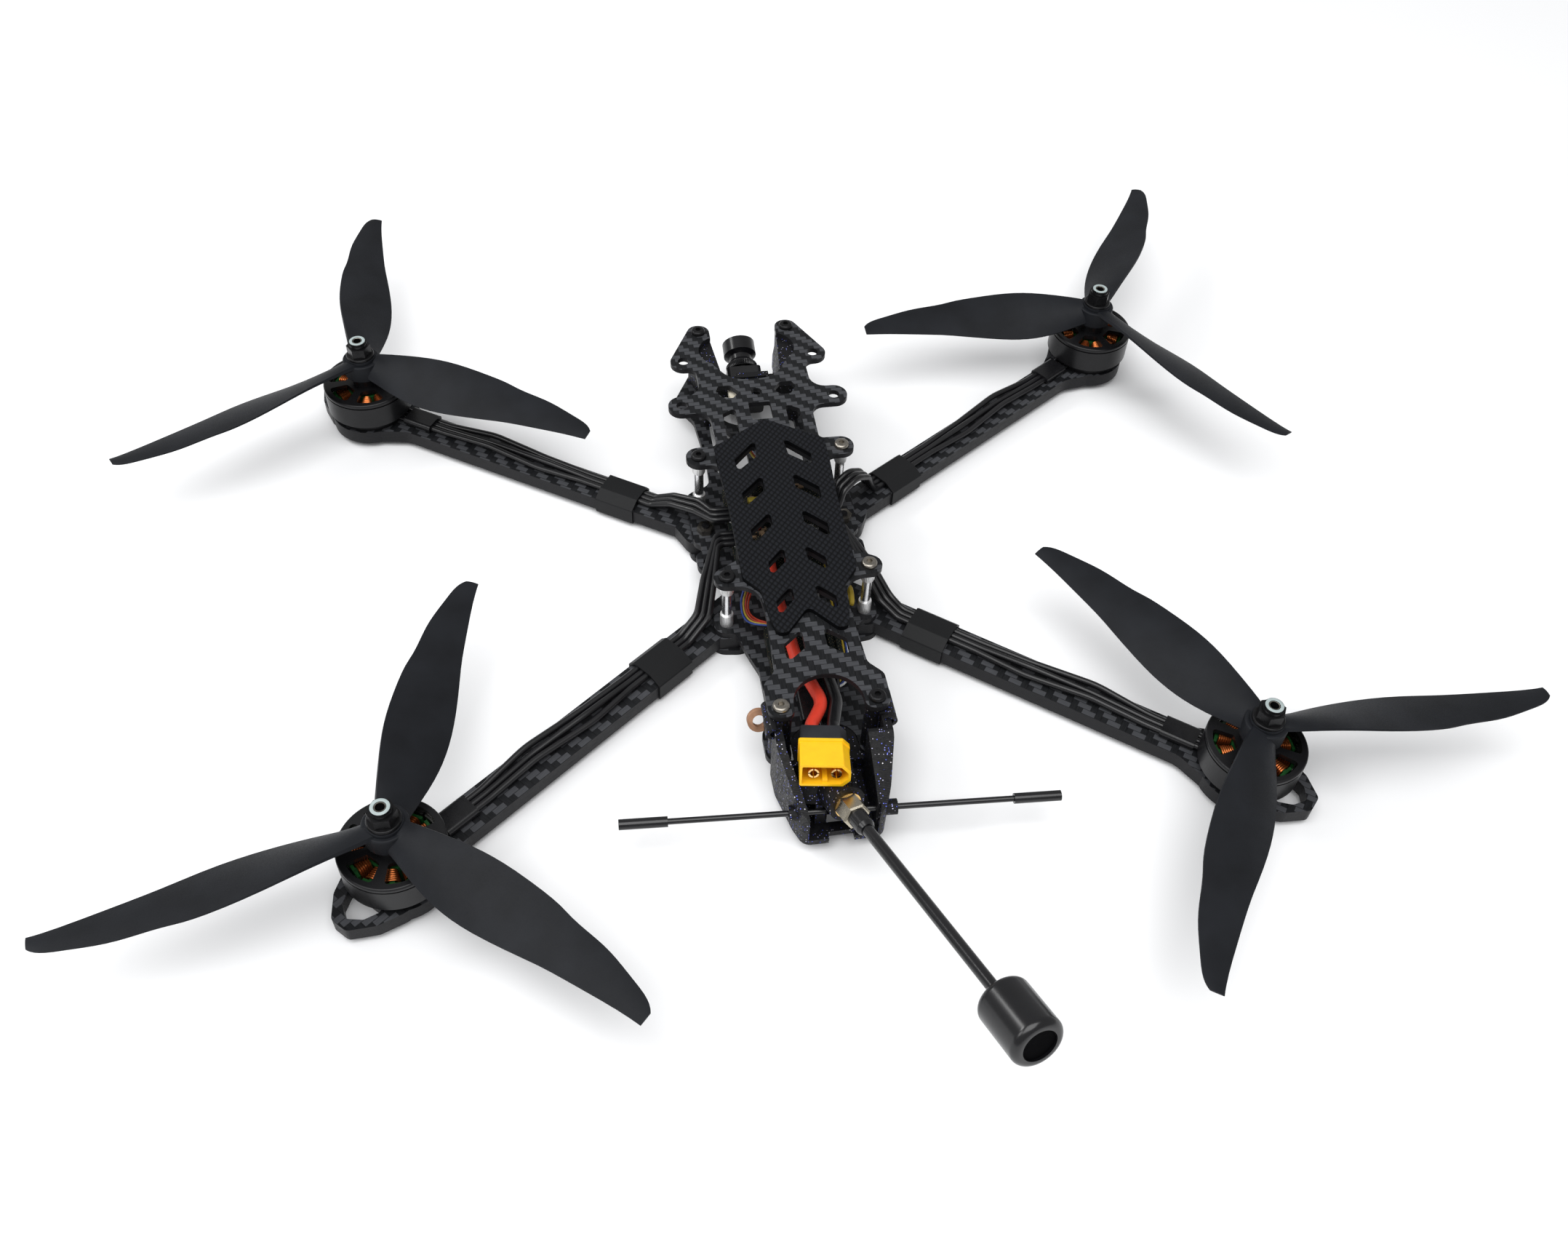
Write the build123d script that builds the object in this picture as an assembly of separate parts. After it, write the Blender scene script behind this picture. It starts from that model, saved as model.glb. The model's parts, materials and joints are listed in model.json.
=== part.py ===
"""Carbon-fibre quadcopter with 8 inch three-blade propellers.

Millimetres, +Z up, +Y towards the camera end. The origin is the middle of the
X on the underside of the bottom plate. One STEP file is written per node.
"""
import os
from math import atan2, cos, degrees, hypot, radians, sin, tan

from build123d import *

# ---------------------------------------------------------------- frame heights
BOTTOM_T = 2.5
ARM_T = 5.5
MID_T = 2.5
STANDOFF_LENGTH = 22.0
TOP_T = 2.0
PAD_T = 1.8

ARM_Z = BOTTOM_T
ARM_TOP = ARM_Z + ARM_T
MID_Z = ARM_TOP
MID_TOP = MID_Z + MID_T
TOP_Z = MID_TOP + STANDOFF_LENGTH
TOP_TOP = TOP_Z + TOP_T

# ---------------------------------------------------------------- layout
FRONT_HUB = (152.5, 111.1)
REAR_HUB = (139.5, -111.1)
FRONT_ARM_ROOT = (27.6, 27.9)
FRONT_ARM_WIDTH = 13.0
REAR_ARM_WIDTH = 14.0
MOTOR_PAD_R = 15.8
FOOT_ANGLE = 45.0

TIP_POST = (18.1, 110.4)
SIDE_FRONT_POST = (27.2, 35.7)
SIDE_REAR_POST = (25.15, -26.6)
REAR_POST = (15.8, -85.0)
POSTS = (TIP_POST, SIDE_FRONT_POST, SIDE_REAR_POST, REAR_POST)
ARM_BOLT_FRONT = (26.7, 20.7)
ARM_BOLT_REAR = (13.5, -10.75)
LUG_HOLE = (27.3, 4.0)
ACCESSORY_HOLE_FRONT = (26.2, 92.7)
ACCESSORY_HOLE_REAR = (29.9, 65.7)

M3_HOLE_R = 1.6
ACCESSORY_HOLE_R = 2.2
LUG_HOLE_R = 2.3
M3_R = 1.45
THREAD_R = 1.5
POST_R = 2.5

STACK_Y = 15.25
STACK_HALF = 15.25
ESC_Z = 14.2
ESC_T = 1.8
FC_Z = 21.0
FC_T = 1.6

# ---------------------------------------------------------------- motors
CAN_R = 16.8
CAN_WALL = 1.6
CAN_Z = 11.4
CAN_TOP = 22.5
BASE_R = 14.5
BASE_TOP = 10.6
STATOR_R = 13.6
STATOR_Z = 12.2
STATOR_TOP = 19.4
SHAFT_R = 2.5
BEARING_GAP = 0.05
BEARING_R = 4.0
SHAFT_TOP = 41.2
MOTOR_SCREW_PCD_R = 9.5
PROP_Z = 26.7
PROP_TOP = 34.7
PROP_HUB_R = 7.2
NUT_TOP = 41.8

# Blade stations: distance out, leading offset, trailing offset, thickness, pitch
BLADE_MID_Z = 30.6
BLADE = (
    (4.0, 4.2, -4.2, 4.6, 34.0),
    (12.0, 6.3, -5.6, 3.6, 33.0),
    (22.0, 8.6, -7.3, 2.6, 31.0),
    (34.0, 11.0, -8.0, 2.0, 27.0),
    (46.0, 12.3, -7.1, 1.7, 21.5),
    (60.0, 12.4, -4.7, 1.4, 17.0),
    (74.0, 11.4, -2.4, 1.2, 13.8),
    (86.0, 9.8, -0.9, 1.0, 11.9),
    (95.0, 7.7, 0.0, 0.9, 10.8),
    (99.5, 5.6, 0.2, 0.8, 10.3),
    (100.7, 4.4, 0.2, 0.7, 10.0),
)

# ---------------------------------------------------------------- wiring
WIRE_R = 1.15
WIRE_PITCH = 2.35
WIRE_SHIFT = 1.2
WIRE_Z = ARM_TOP + WIRE_R + 0.05
LEAD_R = 2.2
BAND_LENGTH = 16.0

# ---------------------------------------------------------------- camera
CAMERA_PIVOT = (0.0, 99.5, 12.6)
CAMERA_TILT = 19.0
CAMERA_SIZE = 14.0
WALL_OUTER = 19.8

# ---------------------------------------------------------------- rear fittings
PLUG_TOP_EDGE = (-5.7, -109.5, 34.4)
PLUG_YAW = 9.0
PLUG_PITCH = 16.0
PLUG_W = 16.0
PLUG_H = 8.1
PLUG_L = 13.8
PLUG_CAP_L = 8.4
SMA_POINT = (0.3, -117.0, 23.2)
SMA_YAW = 15.8
SMA_PITCH = 17.0
STALK_R = 1.9
ANTENNA_LENGTH = 99.0
CAP_R = 8.0
CAP_L = 19.0
T_LEFT = (-70.9, -109.0, 14.4)
T_RIGHT = (71.5, -117.6, 14.4)

NODES = []


# ---------------------------------------------------------------- helpers
def outline(corners):
    """Flat face from (x, y, radius) corners, each joined by a tangent arc."""
    count = len(corners)
    joints = []
    for i, (x, y, r) in enumerate(corners):
        here = Vector(x, y)
        before = (Vector(*corners[i - 1][:2]) - here).normalized()
        after = (Vector(*corners[(i + 1) % count][:2]) - here).normalized()
        half = radians(before.get_angle(after)) / 2
        if r == 0 or half > 1.565:
            joints.append((here, None, here))
            continue
        cut = r / tan(half)
        middle = here + (before + after).normalized() * (r / sin(half) - r)
        joints.append((here + before * cut, middle, here + after * cut))
    edges = []
    for i, (start, middle, end) in enumerate(joints):
        if middle is not None:
            edges.append(ThreePointArc(start, middle, end))
        following = joints[(i + 1) % count][0]
        if (following - end).length > 1e-4:
            edges.append(Line(end, following))
    return Face(Wire(edges))


def both_sides(right_half):
    """Closed corner list from the right half, listed front to rear."""
    return list(right_half) + [(-x, y, r) for x, y, r in reversed(right_half)]


def slab(face, z, thickness):
    return extrude(Pos(0, 0, z) * face, amount=thickness, dir=(0, 0, 1))


def rod(x, y, z, r, height):
    return Pos(x, y, z) * Cylinder(r, height, align=(Align.CENTER, Align.CENTER, Align.MIN))


def ring(x, y, z, outer, inner, height):
    return rod(x, y, z, outer, height) - rod(x, y, z - 1, inner, height + 2)


def hexagon(x, y, z, across_flats, height):
    return Pos(x, y, z) * extrude(RegularPolygon(across_flats / 2, 6, major_radius=False), height)


def block(x0, x1, y0, y1, z0, z1):
    size = (x1 - x0, y1 - y0, z1 - z0)
    return Pos(x0, y0, z0) * Box(*size, align=(Align.MIN, Align.MIN, Align.MIN))


def mirrored(points):
    """Every (x, y) point and its twin on the other side."""
    return [(side * x, y) for x, y in points for side in (1, -1)]


def other_side(shape):
    return mirror(shape, about=Plane.YZ)


def tube_path(points, radii):
    return FilletPolyline(*points, radius=list(radii))


def cable(points, radii, r):
    path = tube_path(points, radii)
    return sweep(Plane(origin=path @ 0, z_dir=path % 0) * Circle(r), path=path)


def revolved(points, plane):
    """Solid of revolution from (radius, height) points about the plane's z axis."""
    profile = Polyline(*[(r, 0, h) for r, h in points], close=True)
    return plane.location * revolve(Face(Wire(profile.edges())), Axis.Z)


def save(name, *shapes):
    solids = [solid for shape in shapes for solid in shape.solids()]
    node = solids[0] if len(solids) == 1 else Compound(children=solids)
    node.label = name
    export_step(node, f"parts/{name}.step")
    NODES.append(name)


os.makedirs("parts", exist_ok=True)

# ================================================================ frame plates
HALF_SLOT = (
    (6.7, 71.2, 0.8), (9.8, 75.4, 0.8), (14.6, 75.5, 0.8),
    (15.9, 72.4, 0.8), (13.3, 68.2, 0.8), (9.6, 68.0, 0.8),
)
LONG_SLOT = ((9.8, 62.0, 1.2), (15.1, 58.8, 1.2), (15.1, 43.0, 1.2), (9.7, 47.5, 1.2))
TAIL_SLOT = ((3.7, -53.2, 1.0), (10.7, -59.2, 1.4), (10.7, -67.0, 1.4), (3.7, -61.5, 1.0))
PAD_SLOTS = (
    ((5.2, 40.8, 1.0), (14.5, 30.6, 1.0), (13.9, 24.5, 1.0), (6.0, 31.5, 1.0)),
    ((5.6, 21.2, 1.0), (14.3, 12.6, 1.0), (14.2, 5.2, 1.0), (5.7, 13.4, 1.0)),
    ((5.7, 2.0, 1.0), (14.0, -6.6, 1.0), (13.7, -13.5, 1.0), (5.7, -4.8, 1.0)),
    ((3.6, -15.8, 1.0), (10.2, -23.0, 1.0), (10.0, -29.2, 1.0), (3.9, -23.2, 1.0)),
    ((3.9, -34.6, 1.0), (10.4, -41.4, 1.0), (10.2, -48.0, 1.0), (4.0, -41.0, 1.0)),
)


def slot_cutters(slots, z, thickness):
    cutters = []
    for corners in slots:
        cutter = slab(outline(corners), z - 1, thickness + 2)
        cutters += [cutter, other_side(cutter)]
    return cutters


# Top plate: forked nose, four accessory lobes, post lugs and an arched tail
TOP_HALF = (
    (8.6, 78.7, 11.0), (14.8, 89.2, 1.5), (13.6, 99.0, 3.0), (13.6, 114.9, 4.4),
    (20.9, 114.9, 4.4), (34.6, 87.4, 5.2), (22.0, 87.4, 3.6), (22.0, 71.1, 6.2),
    (35.2, 71.1, 5.25), (35.2, 60.4, 5.25), (20.0, 60.4, 5.0), (19.6, 41.0, 2.0),
    (31.9, 40.8, 4.8), (31.9, 30.8, 4.8), (19.4, 30.8, 5.0), (18.2, -1.0, 30.0),
    (18.2, -17.5, 4.0), (29.75, -23.9, 4.5), (29.75, -31.2, 4.5), (15.4, -31.2, 8.0),
    (14.5, -46.0, 14.0), (15.5, -70.0, 4.0), (20.15, -75.4, 4.0), (20.15, -89.3, 4.3),
    (11.6, -89.3, 3.2), (11.6, -73.4, 11.5),
)
top_plate = slab(outline(both_sides(TOP_HALF)), TOP_Z, TOP_T)
for x in (10.0, -10.0):
    top_plate -= rod(x, 97.8, TOP_Z - 1, 9.4, TOP_T + 2)
for x, y in mirrored(POSTS):
    top_plate -= rod(x, y, TOP_Z - 1, M3_HOLE_R, TOP_T + 2)
for x, y in mirrored((ACCESSORY_HOLE_FRONT, ACCESSORY_HOLE_REAR)):
    top_plate -= rod(x, y, TOP_Z - 1, ACCESSORY_HOLE_R, TOP_T + 2)
top_plate -= rod(0, 70.9, TOP_Z - 1, 2.0, TOP_T + 2)
top_plate -= slab(
    outline(((-4.3, 54.3, 0.8), (4.3, 54.3, 0.8), (4.3, 64.3, 0.8), (-4.3, 64.3, 0.8))),
    TOP_Z - 1, TOP_T + 2,
)
for cutter in slot_cutters((HALF_SLOT, LONG_SLOT, TAIL_SLOT) + PAD_SLOTS, TOP_Z, TOP_T):
    top_plate -= cutter
save("top_plate", top_plate)

# Middle plate: carries every post, clamps the arms from above
MID_HALF = (
    (8.6, 78.7, 11.0), (14.8, 89.2, 1.5), (13.6, 99.0, 3.0), (13.6, 114.9, 4.4),
    (20.9, 114.9, 4.4), (30.2, 96.4, 5.0), (23.5, 84.0, 8.0), (21.5, 62.0, 12.0),
    (21.8, 45.5, 5.0), (31.9, 41.0, 4.8), (31.9, 15.2, 4.8), (28.0, 11.5, 2.0),
    (31.8, 8.4, 2.5), (31.8, -0.6, 4.3), (20.6, -1.2, 3.0), (20.4, -17.5, 3.0),
    (29.75, -22.4, 4.4), (29.75, -31.2, 4.4), (22.6, -31.6, 3.0), (19.4, -43.0, 6.0),
    (16.9, -50.5, 6.0), (16.9, -72.0, 4.0), (20.15, -77.0, 4.0), (20.15, -89.3, 4.3),
    (11.6, -89.3, 3.2), (11.6, -76.0, 8.0),
)
MID_WINDOW = (
    (4.5, 73.5, 2.0), (9.5, 74.5, 2.0), (14.5, 82.5, 2.0), (17.6, 82.5, 1.5),
    (17.6, 50.0, 2.0), (4.5, 54.0, 2.0),
)
mid_plate = slab(outline(both_sides(MID_HALF)), MID_Z, MID_T)
for x in (10.0, -10.0):
    mid_plate -= rod(x, 97.8, MID_Z - 1, 9.4, MID_T + 2)
for x, y in mirrored(POSTS + (ARM_BOLT_FRONT, ARM_BOLT_REAR)):
    mid_plate -= rod(x, y, MID_Z - 1, M3_HOLE_R, MID_T + 2)
for x, y in mirrored((LUG_HOLE,)):
    mid_plate -= rod(x, y, MID_Z - 1, LUG_HOLE_R, MID_T + 2)
STACK_HOLES = [
    (sx * STACK_HALF, STACK_Y + sy * STACK_HALF) for sx in (1, -1) for sy in (1, -1)
]
for x, y in STACK_HOLES:
    mid_plate -= rod(x, y, MID_Z - 1, M3_HOLE_R, MID_T + 2)
for cutter in slot_cutters((MID_WINDOW,), MID_Z, MID_T):
    mid_plate -= cutter
save("mid_plate", mid_plate)

# Bottom plate: short sandwich plate under the arm roots
BOTTOM_HALF = (
    (12.0, 39.0, 6.0), (22.0, 41.6, 4.0), (33.0, 41.0, 5.5), (33.0, 16.5, 6.0),
    (24.0, 7.0, 8.0), (24.0, -9.0, 8.0), (31.5, -20.0, 6.0), (30.0, -32.0, 5.0),
    (19.0, -33.5, 6.0), (10.0, -22.0, 6.0),
)
bottom_plate = slab(outline(both_sides(BOTTOM_HALF)), 0, BOTTOM_T)
CLAMP_POINTS = (SIDE_FRONT_POST, SIDE_REAR_POST, ARM_BOLT_FRONT, ARM_BOLT_REAR)


def countersink(x, y):
    cone = Cone(3.0, M3_R, 1.6, align=(Align.CENTER, Align.CENTER, Align.MIN))
    return Pos(x, y, 0) * cone


for x, y in mirrored(CLAMP_POINTS) + STACK_HOLES:
    bottom_plate -= rod(x, y, -1, M3_HOLE_R, BOTTOM_T + 2)
    bottom_plate -= countersink(x, y)
save("bottom_plate", bottom_plate)

# Battery pad: rubber sheet glued on the top plate
PAD_HALF = (
    (12.5, 44.2, 4.0), (20.9, 38.8, 3.0), (20.9, 26.0, 30.0), (20.0, 8.0, 40.0),
    (20.0, -22.0, 8.0), (20.0, -29.0, 3.0), (14.6, -35.6, 4.0), (13.4, -50.0, 6.0),
    (11.9, -55.6, 2.0), (8.6, -55.4, 2.0), (0.0, -45.0, 2.0),
)
pad_corners = [(0.0, 52.3, 2.5)] + list(PAD_HALF) + [(-x, y, r) for x, y, r in reversed(PAD_HALF[:-1])]
battery_pad = slab(outline(pad_corners), TOP_TOP, PAD_T)
for cutter in slot_cutters(PAD_SLOTS, TOP_TOP, PAD_T):
    battery_pad -= cutter
save("battery_pad", battery_pad)

# ================================================================ arms
FRONT_ANGLE = degrees(atan2(FRONT_HUB[1] - FRONT_ARM_ROOT[1], FRONT_HUB[0] - FRONT_ARM_ROOT[0]))
REAR_ANGLE = degrees(atan2(REAR_HUB[1], REAR_HUB[0]))
FOOT = (
    (4.0, -13.0, 0.0), (9.5, -13.2, 6.0), (18.2, -9.4, 5.0), (25.0, -3.2, 2.6),
    (25.0, 3.2, 2.6), (18.2, 9.4, 5.0), (9.5, 13.2, 6.0), (4.0, 13.0, 0.0),
)
FOOT_WINDOW = (
    (13.2, -7.2, 1.2), (19.2, -4.6, 1.6), (22.2, 0.0, 1.6), (19.2, 4.6, 1.6), (13.2, 7.2, 1.2),
)


def arm(hub, angle, width, foot_turn, root):
    """Right-hand arm: bar, motor pad, landing foot and the clamped root."""
    half = width / 2
    reach = hypot(hub[0] - root[0][0], hub[1] - root[0][1])
    bar = slab(
        outline((
            (-reach, -half, 0), (-21.0, -half, 10.0), (-9.0, -12.0, 0),
            (-9.0, 12.0, 0), (-21.0, half, 10.0), (-reach, half, 0),
        )),
        ARM_Z, ARM_T,
    )
    body = bar + rod(0, 0, ARM_Z, MOTOR_PAD_R, ARM_T)
    foot = Rot(0, 0, foot_turn) * slab(outline(FOOT), ARM_Z, ARM_T)
    body += foot
    body -= Rot(0, 0, foot_turn) * slab(outline(FOOT_WINDOW), ARM_Z - 1, ARM_T + 2)
    for quarter in range(4):
        turn = radians(45 + 90 * quarter)
        x, y = MOTOR_SCREW_PCD_R * cos(turn), MOTOR_SCREW_PCD_R * sin(turn)
        body -= rod(x, y, ARM_Z - 1, M3_HOLE_R, ARM_T + 2)
    body -= rod(0, 0, ARM_Z - 1, 3.6, ARM_T + 2)
    placed = Pos(hub[0], hub[1], 0) * Rot(0, 0, angle) * body
    return placed + slab(outline(root[1:]), ARM_Z, ARM_T)


FRONT_ROOT = (
    (23.0, 24.8),
    (20.0, 41.0, 5.0), (36.0, 41.0, 6.0), (40.0, 32.0, 8.0), (33.0, 16.4, 5.0), (10.5, 16.4, 5.0),
    (10.5, 33.5, 5.0),
)
REAR_ROOT = (
    (4.0, -3.2),
    (1.0, 5.0, 2.0), (5.0, 5.0, 3.0), (31.5, -16.0, 4.0), (31.0, -31.8, 4.8),
    (19.6, -31.8, 5.0), (10.0, -17.0, 4.0), (1.0, -9.8, 2.0),
)
front_arm = arm(FRONT_HUB, FRONT_ANGLE, FRONT_ARM_WIDTH, FOOT_ANGLE - FRONT_ANGLE, FRONT_ROOT)
for point in (SIDE_FRONT_POST, ARM_BOLT_FRONT, STACK_HOLES[0]):
    front_arm -= rod(point[0], point[1], ARM_Z - 1, M3_HOLE_R, ARM_T + 2)
rear_arm = arm(REAR_HUB, REAR_ANGLE, REAR_ARM_WIDTH, -FOOT_ANGLE - REAR_ANGLE, REAR_ROOT)
for point in (SIDE_REAR_POST, ARM_BOLT_REAR, STACK_HOLES[1]):
    rear_arm -= rod(point[0], point[1], ARM_Z - 1, M3_HOLE_R, ARM_T + 2)
rear_arm -= block(-30.0, 0.8, -60.0, 60.0, 0.0, 20.0)
save("arm_front_right", front_arm)
save("arm_front_left", other_side(front_arm))
save("arm_rear_right", rear_arm)
save("arm_rear_left", other_side(rear_arm))

# ================================================================ posts and screws
posts = []
for x, y in mirrored(POSTS):
    post = ring(x, y, MID_TOP, POST_R, THREAD_R, STANDOFF_LENGTH)
    posts.append(post)
save("plate_standoffs", *posts)


def button_screw(x, y, z, length):
    """Button-head M3 pointing down, head seated at z, hexagon socket."""
    head = Pos(x, y, z) * Cylinder(2.85, 1.65, align=(Align.CENTER, Align.CENTER, Align.MIN))
    head = fillet(head.edges().group_by(Axis.Z)[-1], 1.1)
    head -= hexagon(x, y, z + 0.55, 2.0, 2.0)
    return head + rod(x, y, z - length, M3_R, length)


BLACK_SCREWS = (
    (TIP_POST[0], TIP_POST[1]), (-TIP_POST[0], TIP_POST[1]),
    (-SIDE_FRONT_POST[0], SIDE_FRONT_POST[1]), (-SIDE_REAR_POST[0], SIDE_REAR_POST[1]),
    (REAR_POST[0], REAR_POST[1]),
)
SILVER_SCREWS = (
    SIDE_FRONT_POST, SIDE_REAR_POST, (-REAR_POST[0], REAR_POST[1]),
)
save("top_screws_black", *[button_screw(x, y, TOP_TOP, 8.0) for x, y in BLACK_SCREWS])
save("top_screws_silver", *[button_screw(x, y, TOP_TOP, 8.0) for x, y in SILVER_SCREWS])

frame_bolts = []
for x, y in mirrored((SIDE_FRONT_POST, SIDE_REAR_POST)):
    frame_bolts.append(countersink(x, y) + rod(x, y, 0.5, M3_R, MID_TOP + 5.5))
for x, y in mirrored((ARM_BOLT_FRONT, ARM_BOLT_REAR)):
    frame_bolts.append(countersink(x, y) + rod(x, y, 0.5, M3_R, MID_TOP + 2.4))
for x, y in mirrored((TIP_POST, REAR_POST)):
    upright = button_screw(x, -y, -MID_Z, MID_T + 6.0)
    frame_bolts.append(Rot(180, 0, 0) * upright)
save("frame_bolts", *frame_bolts)

nuts = []
for x, y in mirrored((ARM_BOLT_FRONT, ARM_BOLT_REAR)):
    nuts.append(hexagon(x, y, MID_TOP, 5.5, 2.4) - rod(x, y, MID_TOP - 1, THREAD_R, 5))
save("arm_nuts", *nuts)

# ================================================================ electronics stack
ESC_HALF_W = 18.5
ESC_HALF_L = 22.0
FC_HALF = 18.0


def board(z, half_w, half_l, thickness):
    face = outline((
        (half_w, STACK_Y + half_l, 2.5), (half_w, STACK_Y - half_l, 2.5),
        (-half_w, STACK_Y - half_l, 2.5), (-half_w, STACK_Y + half_l, 2.5),
    ))
    plate = slab(face, z, thickness)
    for x, y in STACK_HOLES:
        plate -= rod(x, y, z - 1, 2.1, thickness + 2)
    return plate


speed_controller = board(ESC_Z, ESC_HALF_W, ESC_HALF_L, ESC_T)
for sx in (1, -1):
    for sy in (1, -1):
        for step in range(3):
            x, y = sx * 9.9, STACK_Y + sy * (3.0 + 4.6 * step)
            speed_controller += block(x - 2.2, x + 2.2, y - 2.1, y + 2.1, ESC_Z + ESC_T, ESC_Z + ESC_T + 1.0)
speed_controller += block(-5.0, 5.0, STACK_Y - 8, STACK_Y + 8, ESC_Z + ESC_T, ESC_Z + ESC_T + 1.6)
save("speed_controller", speed_controller)

flight_controller = board(FC_Z, FC_HALF, FC_HALF, FC_T)
flight_controller += block(-4.0, 4.0, STACK_Y - 4, STACK_Y + 4, FC_Z + FC_T, FC_Z + FC_T + 1.2)
flight_controller += block(-4.4, 4.4, STACK_Y + 12.0, STACK_Y + 17.6, FC_Z + FC_T, FC_Z + FC_T + 2.9)
for sx in (1, -1):
    x = sx * 14.0
    flight_controller += block(x - 2.2, x + 2.2, STACK_Y - 6, STACK_Y + 6, FC_Z + FC_T, FC_Z + FC_T + 2.4)
save("flight_controller", flight_controller)

stack_bolts = []
for x, y in STACK_HOLES:
    bolt = countersink(x, y) + rod(x, y, 0.5, M3_R, 26.0)
    stack_bolts.append(bolt + hexagon(x, y, FC_Z + FC_T + 1.3, 5.5, 2.4))
save("stack_bolts", *stack_bolts)

grommets = []
for x, y in STACK_HOLES:
    grommets.append(ring(x, y, MID_TOP, 2.9, THREAD_R, ESC_Z - MID_TOP))
    grommets.append(ring(x, y, ESC_Z + ESC_T, 2.9, THREAD_R, FC_Z - ESC_Z - ESC_T))
    grommets.append(ring(x, y, FC_Z + FC_T, 2.9, THREAD_R, 1.3))
save("stack_grommets", *grommets)

VTX = (-13.0, 13.0, -58.0, -34.0, MID_TOP, MID_TOP + 4.4)
video_transmitter = block(*VTX)
for step in range(9):
    x = -11.6 + 2.7 * step
    video_transmitter -= block(x, x + 1.3, -59.0, -40.0, MID_TOP + 3.0, MID_TOP + 6.0)
save("video_transmitter", video_transmitter)

receiver = block(-6.0, 6.0, -75.0, -62.0, MID_TOP, MID_TOP + 2.8)
receiver = fillet(receiver.edges().filter_by(Axis.Y), 0.8)
save("receiver", receiver)

# ================================================================ camera
# Printed cradle between the plates: two cheeks joined by a bar
CHEEK = (
    (11.3, 79.8, 1.0), (13.8, 108.0, 20.0), (13.9, 116.0, 1.5), (21.0, 116.0, 3.0),
    (22.3, 110.0, 3.0), (WALL_OUTER, 102.0, 8.0), (WALL_OUTER, 79.8, 2.0),
)
cheek = slab(outline(CHEEK), MID_TOP, TOP_Z - MID_TOP - 0.1)
side_profile = Polyline(
    (0, 79.0, 10.0), (0, 116.5, 10.0), (0, 116.0, 14.0), (0, 107.0, 33.0), (0, 79.0, 33.0), close=True
)
side_block = extrude(Pos(5, 0, 0) * Face(Wire(side_profile.edges())), amount=30.0, dir=(1, 0, 0))
cheek = cheek & side_block
cheek += rod(TIP_POST[0], TIP_POST[1], MID_TOP, 4.3, TOP_Z - MID_TOP - 0.1)
cheek -= rod(TIP_POST[0], TIP_POST[1], MID_TOP - 1, POST_R + 0.05, 30.0)
pivot_bore = Rot(0, 90, 0) * Cylinder(1.08, 60.0)
pivot_pocket = Rot(0, 90, 0) * Cylinder(2.5, 20.0, align=(Align.CENTER, Align.CENTER, Align.MIN))
cheek -= Pos(*CAMERA_PIVOT) * pivot_bore
cheek -= Pos(15.2, CAMERA_PIVOT[1], CAMERA_PIVOT[2]) * pivot_pocket
crossbar = block(-12.5, 12.5, 79.8, 83.5, 25.0, TOP_Z - 0.1)
crossbar += block(-6.5, 6.5, 80.6, 83.5, TOP_Z - 0.1, 34.0)
camera_cradle = cheek + other_side(cheek) + crossbar
save("camera_cradle", camera_cradle)

camera_plane = Plane(
    origin=CAMERA_PIVOT,
    x_dir=(1, 0, 0),
    z_dir=(0, -sin(radians(CAMERA_TILT)), cos(radians(CAMERA_TILT))),
)
half_camera = CAMERA_SIZE / 2
camera_case = block(-half_camera, half_camera, -8.0, 6.5, -half_camera, half_camera)
camera_case = fillet(camera_case.edges().filter_by(Axis.Y), 1.6)
boss = Rot(0, 90, 0) * Cylinder(3.2, 24.8)
camera_case += boss
camera_case -= Rot(0, 90, 0) * Cylinder(1.0, 40.0) - block(-6.5, 6.5, -5, 5, -5, 5)
camera_case -= Pos(0, 5.5, 0) * Rot(-90, 0, 0) * Cylinder(5.0, 4.0)
save("camera_body", camera_plane.location * camera_case)

LENS = (
    (0.0, 3.6), (4.9, 3.6), (4.9, 8.2), (6.1, 8.2), (6.1, 11.0), (4.8, 12.6), (4.8, 14.6),
    (6.75, 15.8), (6.75, 21.6), (5.7, 21.6), (5.2, 19.0), (0.0, 19.0),
)
lens_profile = Polyline(*[(r, h, 0) for r, h in LENS], close=True)
lens = revolve(Face(Wire(lens_profile.edges())), Axis.Y)
save("camera_lens", camera_plane.location * lens)

camera_screws = []
for side in (1, -1):
    shank = Rot(0, 90, 0) * Cylinder(1.0, 9.0, align=(Align.CENTER, Align.CENTER, Align.MIN))
    head = Rot(0, 90, 0) * Cylinder(1.9, 1.4, align=(Align.CENTER, Align.CENTER, Align.MIN))
    socket = Rot(0, 90, 0) * hexagon(0, 0, 0, 1.5, 2.0)
    screw = Pos(6.6, 0, 0) * shank + Pos(15.55, 0, 0) * head - Pos(16.2, 0, 0) * socket
    camera_screws.append(screw if side == 1 else other_side(screw))
save("camera_screws", *[camera_plane.location * screw for screw in camera_screws])

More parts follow.
